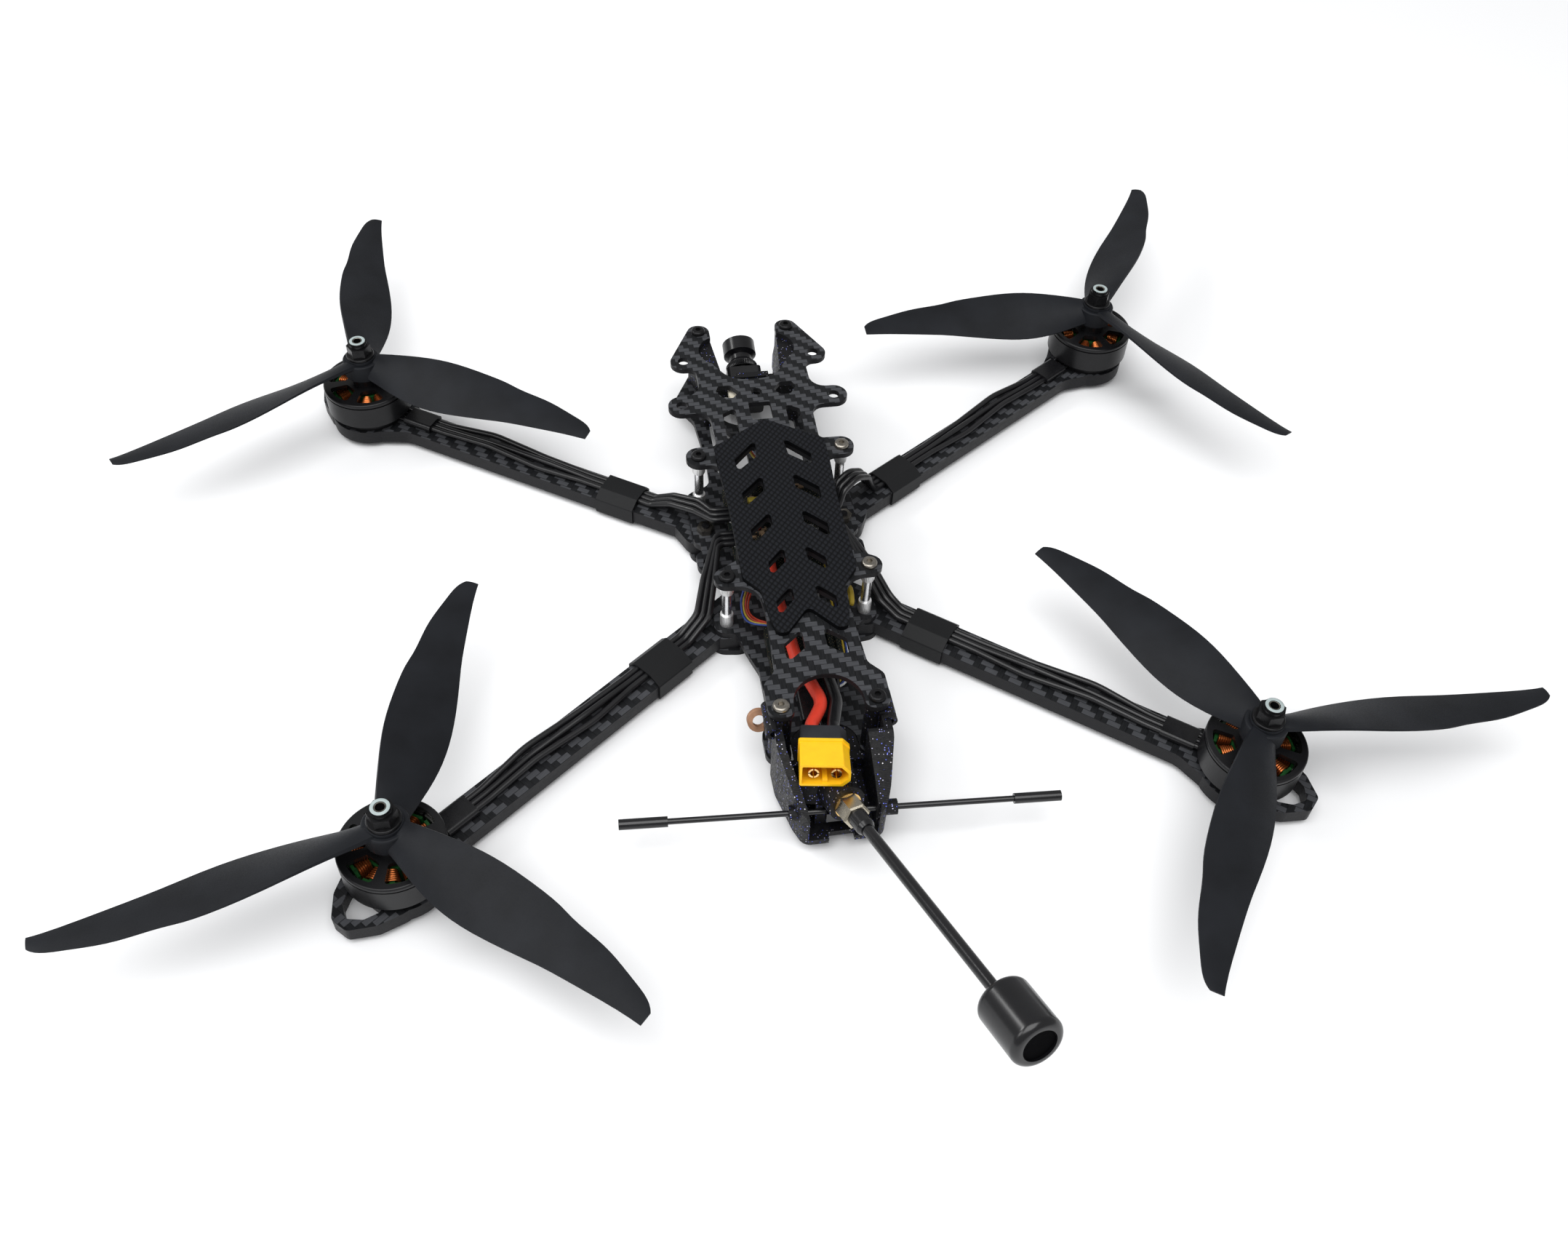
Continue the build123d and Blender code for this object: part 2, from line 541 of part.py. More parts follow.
# ================================================================ motors
def motor_base(wire_side):
    """Static mount: spoked disc, bearing tube and a notch for the wires."""
    base = rod(0, 0, ARM_TOP, BASE_R, BASE_TOP - ARM_TOP)
    base += rod(0, 0, ARM_TOP, 5.6, 12.0)
    base -= rod(0, 0, ARM_TOP - 1, BEARING_R, 14.0)
    for quarter in range(4):
        turn = radians(45 + 90 * quarter)
        x, y = MOTOR_SCREW_PCD_R * cos(turn), MOTOR_SCREW_PCD_R * sin(turn)
        base -= rod(x, y, ARM_TOP - 1, THREAD_R, 3.2)
        x, y = 10.6 * cos(turn + radians(45)), 10.6 * sin(turn + radians(45))
        if quarter != 1:
            base -= rod(x, y, ARM_TOP - 1, 2.6, 5.0)
    notch_y = wire_side * WIRE_SHIFT
    base -= block(-BASE_R - 1, -8.2, notch_y - 3.9, notch_y + 3.9, ARM_TOP - 1, BASE_TOP + 1)
    return base


def motor_bell(phase):
    """Open-topped rotor can with six spokes, boss and hollow-ended shaft."""
    can = rod(0, 0, CAN_Z, CAN_R, CAN_TOP - CAN_Z)
    can = fillet(can.edges().group_by(Axis.Z)[-1], 0.7)
    can -= ring(0, 0, CAN_TOP - 2.0, CAN_R + 1, CAN_R - 0.45, 0.6)
    can -= rod(0, 0, CAN_Z - 1, CAN_R - CAN_WALL, 10.3)
    windows = None
    for spoke in range(6):
        window = slab(
            outline((
                (7.2, -2.6, 1.0), (13.6, -5.6, 1.2), (14.9, 0.0, 8.0), (13.6, 5.6, 1.2), (7.2, 2.6, 1.0),
            )),
            CAN_Z, 20.0,
        )
        window = Rot(0, 0, phase + 30 + 60 * spoke) * window
        windows = window if windows is None else windows + window
    can -= windows
    boss = rod(0, 0, 20.7, 5.6, PROP_Z - 20.7)
    shaft = rod(0, 0, 8.6, SHAFT_R, SHAFT_TOP - 8.6) + rod(0, 0, SHAFT_TOP, 1.75, 0.5)
    shaft -= rod(0, 0, SHAFT_TOP - 3.0, 1.5, 5.0)
    return can + boss + shaft


def stator():
    """Laminated core: hub ring with twelve T-shaped teeth."""
    height = STATOR_TOP - STATOR_Z
    core = ring(0, 0, STATOR_Z, 7.6, 5.6, height)
    for tooth in range(12):
        turn = Rot(0, 0, 30 * tooth)
        core += turn * block(7.0, 12.8, -0.8, 0.8, STATOR_Z, STATOR_TOP)
        core += turn * block(12.3, 13.3, -2.7, 2.7, STATOR_Z, STATOR_TOP)
    return core & rod(0, 0, STATOR_Z, STATOR_R, height)


def blade_section(station, lead, trail, thickness, pitch):
    """Cambered blade section as a face square to the blade's length."""
    rise, along = sin(radians(pitch)), cos(radians(pitch))
    middle = Vector((lead + trail) / 2, 0)
    chord = Vector((lead - trail) / 2, (lead - trail) / 2 * tan(radians(pitch)))
    normal = Vector(-rise, along)
    edge = normal * (0.14 * thickness + 0.08)
    front, back = middle + chord, middle - chord
    crown = middle + chord * 0.15 + normal * (0.66 * thickness)
    belly = middle - normal * (0.34 * thickness)
    edges = [
        ThreePointArc(front + edge, crown, back + edge),
        Line(back + edge, back - edge),
        ThreePointArc(back - edge, belly, front - edge),
        Line(front - edge, front + edge),
    ]
    plane = Plane(origin=(station, 0, BLADE_MID_Z), x_dir=(0, 1, 0), z_dir=(1, 0, 0))
    return plane.location * Face(Wire(edges))


def propeller(tip_angle, turns_left):
    """Three blades on a stepped hub; the trailing tip corner points at tip_angle."""
    blade = loft([blade_section(*row) for row in BLADE])
    if not turns_left:
        blade = mirror(blade, about=Plane.XZ)
    hub = rod(0, 0, PROP_Z, PROP_HUB_R, PROP_TOP - PROP_Z - 1.2)
    hub = fillet(hub.edges().group_by(Axis.Z)[-1], 0.6)
    hub += rod(0, 0, PROP_Z, 5.8, PROP_TOP - PROP_Z)
    for index in range(3):
        hub += Rot(0, 0, tip_angle + 120 * index) * blade
    return hub - rod(0, 0, PROP_Z - 5, SHAFT_R + 0.02, 20.0)


def lock_nut():
    """Flanged nut with a locking collar over the shaft end."""
    nut = rod(0, 0, PROP_TOP, 5.35, 1.1)
    nut = fillet(nut.edges().group_by(Axis.Z)[-1], 0.5)
    nut += hexagon(0, 0, PROP_TOP + 0.5, 8.0, 4.6)
    nut += rod(0, 0, PROP_TOP + 4.0, 3.45, 2.3)
    nut += rod(0, 0, PROP_TOP + 6.0, 3.06, NUT_TOP - PROP_TOP - 6.0)
    nut -= rod(0, 0, PROP_TOP - 1, SHAFT_R + 0.02, SHAFT_TOP - PROP_TOP + 1.02)
    return nut - rod(0, 0, PROP_TOP, 1.85, 10.0)


def on_arm(angle, hub, shape):
    return Pos(hub[0], hub[1], 0) * Rot(0, 0, angle) * shape


# Slack of the wires along the arm: distance out, sideways, spread per wire, lift per wire
SLACK = (
    (36.0, 0.0, 0.0, (0.0, 0.0, 0.0)), (56.0, 1.0, 0.5, (0.9, 0.2, 1.6)),
    (80.0, -0.6, 0.8, (0.3, 1.7, 0.6)), (99.0, 0.0, 0.0, (0.0, 0.0, 0.0)),
)

# Way of the wires from the band to the stack: point, sideways shift per wire, bend radius
REAR_WAY = (((33.3, -24.0, 12.8), (2.1, 1.0), 8.0), ((29.5, -10.0, 15.5), (1.8, 1.2), 12.0))
LOW_WAY = (((37.5, 36.0, 13.5), (-1.0, 2.3), 8.0), ((29.2, 28.6, 16.4), (-1.2, 2.6), 8.0))
HIGH_WAY = (
    ((36.8, 33.2, 21.0), (-1.3, 2.0), 6.0), ((31.2, 29.4, 24.8), (-1.3, 2.0), 6.0),
    ((25.4, 25.2, 22.8), (-1.2, 2.2), 4.0),
)

# name, side, hub, arm angle, spoke phase, blade tip angle, band start, wire way
MOTORS = (
    ("front_left", -1, FRONT_HUB, FRONT_ANGLE, 8.0, 206.6, 108.0, LOW_WAY),
    ("front_right", 1, FRONT_HUB, FRONT_ANGLE, 41.0, 182.6, 112.5, HIGH_WAY),
    ("rear_left", -1, REAR_HUB, REAR_ANGLE, 15.0, 192.9, 106.0, REAR_WAY),
    ("rear_right", 1, REAR_HUB, REAR_ANGLE, 23.0, 121.8, 109.5, REAR_WAY),
)
FRONT_PADS = (19.2, 21.8, 24.4)
REAR_PADS = (6.2, 8.8, 11.4)

motor_screws = []
bearings = []
stators = []
bands = []
sleeves = []
core = stator()
for name, side, hub, angle, phase, tip_angle, band_start, way in MOTORS:
    front = hub is FRONT_HUB
    turn_side = (lambda shape: shape) if side == 1 else other_side
    spot = Pos(side * hub[0], hub[1], 0)
    wire_side = 1

    save(f"motor_base_{name}", turn_side(on_arm(angle, hub, motor_base(wire_side))))
    save(f"motor_bell_{name}", spot * motor_bell(phase))
    save(f"propeller_{name}", spot * propeller(tip_angle, side == -1))
    save(f"lock_nut_{name}", spot * lock_nut())
    stators.append(spot * core)
    for z in (9.0, 17.5):
        bearings.append(spot * ring(0, 0, z, BEARING_R, SHAFT_R + BEARING_GAP, 2.5))
    for quarter in range(4):
        turn = radians(45 + 90 * quarter)
        x, y = MOTOR_SCREW_PCD_R * cos(turn), MOTOR_SCREW_PCD_R * sin(turn)
        screw = Rot(180, 0, 0) * button_screw(x, -y, -ARM_Z, ARM_T + 2.0)
        motor_screws.append(turn_side(on_arm(angle, hub, screw)))

    # three phase wires along the arm, over the edge of the middle plate to the stack
    out_x, out_y = cos(radians(angle)), sin(radians(angle))
    pads = FRONT_PADS if front else REAR_PADS
    rise_at = band_start + BAND_LENGTH + 5.0
    pad_z = ESC_Z + ESC_T + WIRE_R + 0.05
    wires = []
    for index, pad_y in enumerate(pads):
        shift = index - 1
        offset = WIRE_SHIFT + WIRE_PITCH * shift
        start = Vector(hub[0] + offset * -out_y, hub[1] + offset * out_x, WIRE_Z)
        inward = Vector(-out_x, -out_y, 0)
        across = Vector(-out_y, out_x, 0)
        points = [start + inward * 10.5]
        radii = []
        for out, sideways, spread, lifts in SLACK:
            lift = Vector(0, 0, lifts[index])
            points.append(start + inward * out + across * (sideways + spread * shift) + lift)
            radii.append(40.0)
        points.append(start + inward * rise_at)
        radii.append(6.0)
        for (x, y, z), (shift_x, shift_y), radius in way:
            points.append(Vector(x + shift_x * shift, y + shift_y * shift, z))
            radii.append(radius)
        points += [Vector(23.8, pad_y, pad_z), Vector(16.6, pad_y, pad_z)]
        radii.append(3.0)
        wires.append(cable(points, radii, WIRE_R))
    save(f"motor_wires_{name}", *[turn_side(wire) for wire in wires])

    # heat-shrink sleeve at the motor end of the wires
    sleeve_face = outline((
        (WIRE_SHIFT - 4.5, 0.02, 1.2), (WIRE_SHIFT + 4.5, 0.02, 1.2),
        (WIRE_SHIFT + 4.5, 3.2, 1.4), (WIRE_SHIFT - 4.5, 3.2, 1.4),
    ))
    upright = Plane(origin=(-17.8, 0, ARM_TOP), x_dir=(0, 1, 0), z_dir=(1, 0, 0))
    sleeve = extrude(upright.location * sleeve_face, amount=12.0, dir=(-1, 0, 0))
    for index in range(3):
        y = WIRE_SHIFT + WIRE_PITCH * (index - 1)
        bore = Pos(-10, y, WIRE_Z) * Rot(0, -90, 0) * Cylinder(
            WIRE_R, 40.0, align=(Align.CENTER, Align.CENTER, Align.MIN)
        )
        sleeve -= bore
    sleeves.append(turn_side(on_arm(angle, hub, sleeve)))

    # elastic band round arm and wires
    half = (FRONT_ARM_WIDTH if front else REAR_ARM_WIDTH) / 2
    rim = 0.7
    low, shoulder, high = ARM_Z - 0.02, ARM_TOP + 0.2, WIRE_Z + WIRE_R + 0.02
    crown = WIRE_PITCH + WIRE_R + 0.1

    def band_face(grow, radius):
        return outline((
            (-half - 0.02 - grow, low - grow, radius), (half + 0.02 + grow, low - grow, radius),
            (half + 0.02 + grow, shoulder + grow * 0.5, radius),
            (WIRE_SHIFT + crown + grow * 0.6, high + grow, radius),
            (WIRE_SHIFT - crown - grow * 0.6, high + grow, radius),
            (-half - 0.02 - grow, shoulder + grow * 0.5, radius),
        ))

    band_plane = Plane(origin=(-band_start, 0, 0), x_dir=(0, 1, 0), z_dir=(1, 0, 0))
    band = extrude(band_plane.location * band_face(rim, 0.6), amount=BAND_LENGTH, dir=(-1, 0, 0))
    hollow = extrude(
        Pos(1, 0, 0) * band_plane.location * band_face(0.0, 0.0), amount=BAND_LENGTH + 2, dir=(-1, 0, 0)
    )
    bands.append(turn_side(on_arm(angle, hub, band - hollow)))

save("motor_screws", *motor_screws)
save("motor_bearings", *bearings)
save("motor_stators", *stators)
save("motor_wire_sleeves", *sleeves)
save("arm_bands", *bands)

# ================================================================ rear fittings
plug_out = Vector(
    -sin(radians(PLUG_YAW)) * cos(radians(PLUG_PITCH)),
    -cos(radians(PLUG_YAW)) * cos(radians(PLUG_PITCH)),
    sin(radians(PLUG_PITCH)),
)
plug_up = Vector(
    sin(radians(PLUG_PITCH)) * sin(radians(PLUG_YAW)),
    sin(radians(PLUG_PITCH)) * cos(radians(PLUG_YAW)),
    cos(radians(PLUG_PITCH)),
)
plug_right = (plug_out * -1).cross(plug_up)
plug_plane = Plane(
    origin=Vector(*PLUG_TOP_EDGE) - plug_up * (PLUG_H / 2), x_dir=plug_right, z_dir=plug_up
)
plug_spot = plug_plane.location


def plug_profile(shrink, radius):
    w, h, c = PLUG_W / 2 - shrink, PLUG_H / 2 - shrink, 2.3
    return outline((
        (-w, -h, radius), (w - c, -h, radius), (w, -h + c, radius),
        (w, h - c, radius), (w - c, h, radius), (-w, h, radius),
    ))


def plug_extrude(face, start, length):
    across = Plane(origin=(0, start, 0), x_dir=(1, 0, 0), z_dir=(0, -1, 0))
    return extrude(across.location * face, amount=length, dir=(0, 1, 0))


housing = plug_extrude(plug_profile(0.0, 0.6), 0.0, PLUG_L)
housing += plug_extrude(plug_profile(-0.25, 0.8), PLUG_L - 1.6, 1.6)
housing -= plug_extrude(plug_profile(0.75, 0.4), -1.0, 9.5)
housing += block(-0.8, 0.8, 1.0, 8.5, -PLUG_H / 2 + 0.7, -PLUG_H / 2 + 2.2)
PIN_X = 3.6
PIN_R = 1.75
for side in (1, -1):
    housing -= Pos(side * PIN_X, 0, 0) * Rot(-90, 0, 0) * Cylinder(PIN_R, 60.0)
save("battery_connector_housing", plug_spot * housing)

cap = plug_extrude(plug_profile(0.35, 1.2), PLUG_L, PLUG_CAP_L)
cap = chamfer(cap.edges().group_by(Axis.Y)[-1], 0.8)
for side in (1, -1):
    cap -= Pos(side * PIN_X, 0, 0) * Rot(-90, 0, 0) * Cylinder(PIN_R, 33.0)
    cap -= Pos(side * PIN_X, PLUG_L + 3.0, 0) * Rot(-90, 0, 0) * Cylinder(
        LEAD_R, 20.0, align=(Align.CENTER, Align.CENTER, Align.MIN)
    )
save("battery_connector_cap", plug_spot * cap)

pins = []
for side in (1, -1):
    start = 1.2
    pin = Rot(-90, 0, 0) * Cylinder(PIN_R, PLUG_L + 2.6 - start, align=(Align.CENTER, Align.CENTER, Align.MIN))
    bore = Rot(-90, 0, 0) * Cylinder(1.15, 8.0, align=(Align.CENTER, Align.CENTER, Align.MIN))
    pin = pin - Pos(0, -1, 0) * bore
    pin -= block(-0.2, 0.2, -1.0, 5.0, -2, 2)
    pin -= block(-2, 2, -1.0, 5.0, -0.2, 0.2)
    pins.append(Pos(side * PIN_X, start, 0) * pin)
save("battery_connector_pins", *[plug_spot * pin for pin in pins])


def lead(side, way):
    """Battery lead from inside the connector cap to the pad on the stack."""
    first = plug_plane.from_local_coords(Vector(side * PIN_X, PLUG_L + 3.1, 0))
    second = plug_plane.from_local_coords(Vector(side * PIN_X, PLUG_L + PLUG_CAP_L + 4.0, 0))
    points = [first, second] + [Vector(*point) for point in way]
    return cable(points, (6.0, 10.0, 12.0, 10.0, 7.0)[:len(points) - 2], LEAD_R)


lead_z = ESC_Z + ESC_T + LEAD_R + 0.05
red_way = ((0.4, -75.0, 21.4), (-4.8, -54.0, 19.6), (-6.6, -24.0, 18.6), (-6.6, -2.0, lead_z))
black_way = ((5.0, -75.0, 21.2), (3.6, -54.0, 19.4), (6.6, -24.0, 18.6), (6.6, -2.0, lead_z))
save("battery_lead_red", lead(-1, red_way))
save("battery_lead_black", lead(1, black_way))

sma_out = Vector(
    sin(radians(SMA_YAW)) * cos(radians(SMA_PITCH)),
    -cos(radians(SMA_YAW)) * cos(radians(SMA_PITCH)),
    sin(radians(SMA_PITCH)),
)
sma_plane = Plane(origin=SMA_POINT, x_dir=(cos(radians(SMA_YAW)), sin(radians(SMA_YAW)), 0), z_dir=sma_out)
sma_spot = sma_plane.location

sma_connector = rod(0, 0, -8.0, 3.1, 10.2) + rod(0, 0, -10.5, 1.6, 3.0)
sma_connector += hexagon(0, 0, -5.2, 8.0, 2.2)
sma_connector += rod(0, 0, 0.0, 4.5, 0.9)
save("sma_connector", sma_spot * sma_connector)

sma_nut = hexagon(0, 0, 0.9, 8.0, 6.4)
sma_nut = chamfer(sma_nut.edges().group_by(Axis.Z)[-1], 0.5)
sma_nut -= rod(0, 0, 0.0, 3.1, 2.2) + rod(0, 0, 2.0, 2.4, 8.0)
save("sma_nut", sma_spot * sma_nut)

stalk = revolved(
    (
        (0, 2.3), (2.4, 2.3), (2.4, 7.3), (3.2, 7.3), (3.0, 12.5), (2.3, 14.0), (STALK_R, 14.0),
        (STALK_R, ANTENNA_LENGTH + 2.0), (0, ANTENNA_LENGTH + 2.0),
    ),
    sma_plane,
)
save("antenna_stalk", stalk)

low, high = ANTENNA_LENGTH - CAP_L / 2, ANTENNA_LENGTH + CAP_L / 2
cap_body = rod(0, 0, low, CAP_R, CAP_L)
cap_body = fillet(cap_body.edges().group_by(Axis.Z)[-1] + cap_body.edges().group_by(Axis.Z)[0], 2.2)
cap_body -= rod(0, 0, high - 0.9, 5.2, 3.0)
cap_body -= rod(0, 0, low - 1, STALK_R, CAP_L / 2 + 3.0)
save("antenna_cap", sma_spot * cap_body)

t_left, t_right = Vector(*T_LEFT), Vector(*T_RIGHT)
t_dir = (t_right - t_left).normalized()
t_length = (t_right - t_left).length
t_plane = Plane(origin=t_left, x_dir=(0, 0, 1), z_dir=t_dir)
t_end = 15.5
antenna = rod(0, 0, 0, 1.0, t_length)
antenna += rod(0, 0, 0, 1.75, t_end) + rod(0, 0, t_length - t_end, 1.75, t_end)
antenna = t_plane.location * antenna
t_middle = t_left + (t_right - t_left) * 0.5
antenna += block(-5.5, 5.5, t_middle.Y - 2.5, t_middle.Y + 3.5, t_middle.Z - 2.2, t_middle.Z + 2.2)
feed = cable(
    [(0, t_middle.Y + 3.0, 14.4), (0, -96.0, 14.4), (0, -84.0, 12.0), (0, -75.5, 12.0)], (6.0, 6.0), 0.7
)
save("receiver_antenna", antenna + feed)

# Printed rear mount: post sleeves, side tubes, tray with walls and the plug pedestal
SLEEVE_R = 3.7
outer_half = ((19.2, -87.4, 2.0), (19.0, -98.0, 10.0), (15.6, -112.0, 8.0), (13.0, -118.6, 4.0))
inner_half = ((16.4, -84.0, 0.5), (16.2, -98.0, 8.0), (12.8, -111.5, 6.0), (10.6, -122.0, 0.5))
tray = slab(outline(both_sides(outer_half)), 4.4, 26.6)
side_block = block(10.8, 20.0, -116.0, -94.8, 0.0, 50.0)
tray -= slab(outline(both_sides(inner_half)), 6.8, 40.0) - side_block
slope = Polyline(
    (0, -80.0, 0.0), (0, -80.0, 31.0), (0, -96.0, 31.0), (0, -110.0, 24.0), (0, -118.0, 19.0),
    (0, -120.0, 7.0), (0, -120.0, 0.0), close=True,
)
tray = tray & extrude(Pos(-30, 0, 0) * Face(Wire(slope.edges())), amount=60.0, dir=(1, 0, 0))
tray -= block(-4.6, 3.8, -122.0, -116.1, 0.0, 10.0)
tray -= block(-22.0, 22.0, -89.6, -80.0, 0.0, MID_TOP)
tray += block(-17.0, 17.0, -92.6, -90.2, 4.4, 12.0) - block(-2.0, 2.0, -93.0, -89.0, 9.0, 12.5)
rear_mount = tray
for side in (1, -1):
    x = side * REAR_POST[0]
    rear_mount += rod(x, REAR_POST[1], MID_TOP, SLEEVE_R, TOP_Z - MID_TOP - 0.1)
    rear_mount += block(min(x, side * 18.8), max(x, side * 18.8), -90.0, -85.0, MID_TOP, TOP_Z - 0.6)
    rear_mount += Pos(side * 18.9, -91.8, 31.1 - 1.6) * Rot(-90, 0, 0) * Cylinder(
        2.6, 12.0, align=(Align.CENTER, Align.CENTER, Align.MIN)
    )
for side in (1, -1):
    rear_mount -= rod(side * REAR_POST[0], REAR_POST[1], MID_TOP - 1, POST_R + 0.05, 40.0)
    rear_mount -= Pos(side * 18.9, -93.0, 29.5) * Rot(-90, 0, 0) * Cylinder(
        1.4, 11.0, align=(Align.CENTER, Align.CENTER, Align.MIN)
    )
pedestal = plug_spot * block(-7.4, 7.4, 2.5, 17.5, -PLUG_H / 2 - 20.0, -PLUG_H / 2 - 0.3)
pedestal = pedestal & block(-20, 20, -122, -84, 16.8, 40)
pedestal += sma_spot * rod(0, 0, -9.0, 6.2, 9.0)
pedestal += block(-8.5, 6.2, -112.5, -96.0, 6.0, 17.2)
rear_mount += pedestal
rear_mount -= sma_spot * rod(0, 0, -40.0, 3.1, 45.0)
rear_mount -= sma_spot * (hexagon(0, 0, -20.0, 8.2, 17.0))
t_bore = t_plane.location * rod(0, 0, 20.0, 1.0, t_length - 40.0)
for side in (1, -1):
    centre = t_left + t_dir * (t_length / 2 + side * 15.0)
    rear_mount += Plane(origin=centre, z_dir=t_dir).location * Cylinder(2.6, 5.0)
rear_mount -= t_bore
rear_mount -= block(-6.0, 6.0, t_middle.Y - 3.0, t_middle.Y + 4.0, t_middle.Z - 2.4, t_middle.Z + 2.4)
rear_mount -= block(-1.2, 1.2, t_middle.Y, -86.0, 10.5, 15.4)
rear_mount -= plug_spot * block(-8.6, 8.6, -2.0, 26.0, -PLUG_H / 2 - 0.27, PLUG_H)
clip = block(-20.0, -17.2, -83.5, -77.5, 16.4, 20.4)
rear_mount += clip - rod(-REAR_POST[0], REAR_POST[1], MID_TOP - 1, POST_R + 0.05, 40.0)
assert len(rear_mount.solids()) == 1
save("rear_mount", rear_mount)

filter_ring = Pos(-21.5, -77.0, 18.4) * Rot(60, 0, 0) * (
    Cylinder(3.9, 2.4) - Cylinder(2.1, 4.0)
)
filter_ring -= clip
save("filter_ring", filter_ring)

print(len(NODES), "nodes")
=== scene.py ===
"""Carbon quadcopter: looks, small parts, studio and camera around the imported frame."""
import json
import random
from math import cos, pi, radians, sin

import bmesh
import bpy
from mathutils import Matrix, Vector


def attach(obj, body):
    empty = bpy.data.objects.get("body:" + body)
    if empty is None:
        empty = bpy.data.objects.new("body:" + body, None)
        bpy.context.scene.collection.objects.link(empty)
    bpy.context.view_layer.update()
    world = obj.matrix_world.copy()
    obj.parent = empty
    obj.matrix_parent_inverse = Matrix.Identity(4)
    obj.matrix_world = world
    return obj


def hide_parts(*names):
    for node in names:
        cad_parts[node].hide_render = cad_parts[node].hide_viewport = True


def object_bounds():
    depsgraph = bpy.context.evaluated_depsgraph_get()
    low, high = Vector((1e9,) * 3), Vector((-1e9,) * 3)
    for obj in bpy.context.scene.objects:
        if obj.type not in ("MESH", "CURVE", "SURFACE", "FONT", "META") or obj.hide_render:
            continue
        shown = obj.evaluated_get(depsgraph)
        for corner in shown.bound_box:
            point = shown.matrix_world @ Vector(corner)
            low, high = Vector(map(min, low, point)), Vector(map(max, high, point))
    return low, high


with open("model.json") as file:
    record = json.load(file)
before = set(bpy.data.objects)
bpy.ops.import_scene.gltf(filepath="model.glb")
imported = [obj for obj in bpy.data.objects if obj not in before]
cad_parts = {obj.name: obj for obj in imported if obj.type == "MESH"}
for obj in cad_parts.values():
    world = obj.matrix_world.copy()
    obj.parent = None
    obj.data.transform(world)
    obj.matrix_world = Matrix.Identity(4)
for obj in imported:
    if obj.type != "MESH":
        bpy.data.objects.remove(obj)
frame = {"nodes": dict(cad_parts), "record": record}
cad_low, cad_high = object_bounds()
NODES = frame["nodes"]
MM = 0.001

CORNERS = ("front_left", "front_right", "rear_left", "rear_right")
HUB = {
    "front_left": (-152.5, 111.1), "front_right": (152.5, 111.1),
    "rear_left": (-139.5, -111.1), "rear_right": (139.5, -111.1),
}
ARM_ANGLE = {"front_left": -33.67, "front_right": 33.67, "rear_left": 38.53, "rear_right": -38.53}


# ---------------------------------------------------------------- shader helpers
class Look:
    """A material being built, with short calls for its nodes."""

    def __init__(self, name, color=(0.5, 0.5, 0.5), rough=0.5, metal=0.0, **more):
        self.mat = bpy.data.materials.new(name)
        self.mat.use_nodes = True
        self.tree = self.mat.node_tree
        self.bsdf = self.tree.nodes["Principled BSDF"]
        self.set("Base Color", (*color, 1.0))
        self.set("Roughness", rough)
        self.set("Metallic", metal)
        for key, value in more.items():
            self.set(key.replace("_", " "), value)
        self.mat.diffuse_color = (*color, 1.0)

    def set(self, socket, value):
        self.bsdf.inputs[socket].default_value = value

    def link(self, source, socket):
        self.tree.links.new(source, self.bsdf.inputs[socket])

    def node(self, kind, **inputs):
        node = self.tree.nodes.new(kind)
        for key, value in inputs.items():
            if key[0].islower():
                setattr(node, key, value)
                continue
            target = node.inputs[key.replace("_", " ")]
            if isinstance(value, bpy.types.NodeSocket):
                self.tree.links.new(value, target)
            else:
                target.default_value = value
        return node

    def math(self, operation, a, b=0.0):
        node = self.tree.nodes.new("ShaderNodeMath")
        node.operation = operation
        for index, value in enumerate((a, b)):
            if isinstance(value, bpy.types.NodeSocket):
                self.tree.links.new(value, node.inputs[index])
            else:
                node.inputs[index].default_value = value
        return node.outputs[0]

    def mix(self, factor, a, b):
        node = self.tree.nodes.new("ShaderNodeMix")
        node.data_type = "RGBA"
        for index, value in ((0, factor), (6, a), (7, b)):
            if isinstance(value, bpy.types.NodeSocket):
                self.tree.links.new(value, node.inputs[index])
            elif index == 0:
                node.inputs[0].default_value = value
            else:
                node.inputs[index].default_value = (*value, 1.0)
        return node.outputs[2]

    def coords(self, turn=0.0, scale=1000.0):
        """Object coordinates in millimetres times scale / 1000, turned about Z."""
        source = self.tree.nodes.new("ShaderNodeTexCoord").outputs["Object"]
        mapping = self.node("ShaderNodeMapping", Vector=source)
        mapping.inputs["Rotation"].default_value = (0.0, 0.0, radians(turn))
        mapping.inputs["Scale"].default_value = (scale, scale, scale)
        return mapping.outputs[0]

    def split(self, vector):
        return self.node("ShaderNodeSeparateXYZ", Vector=vector).outputs

    def join(self, x, y, z):
        return self.node("ShaderNodeCombineXYZ", X=x, Y=y, Z=z).outputs[0]

    def noise(self, vector, scale, detail=2.0, rough=0.5):
        node = self.node("ShaderNodeTexNoise", Vector=vector, Scale=scale, Detail=detail, Roughness=rough)
        return node.outputs["Fac"]

    def ramp(self, value, low, high, out_low=0.0, out_high=1.0):
        node = self.tree.nodes.new("ShaderNodeMapRange")
        self.tree.links.new(value, node.inputs[0])
        for index, number in enumerate((low, high, out_low, out_high)):
            node.inputs[index + 1].default_value = number
        return node.outputs[0]

    def bump(self, height, strength, distance):
        node = self.node("ShaderNodeBump", Strength=strength, Distance=distance, Height=height)
        self.link(node.outputs[0], "Normal")


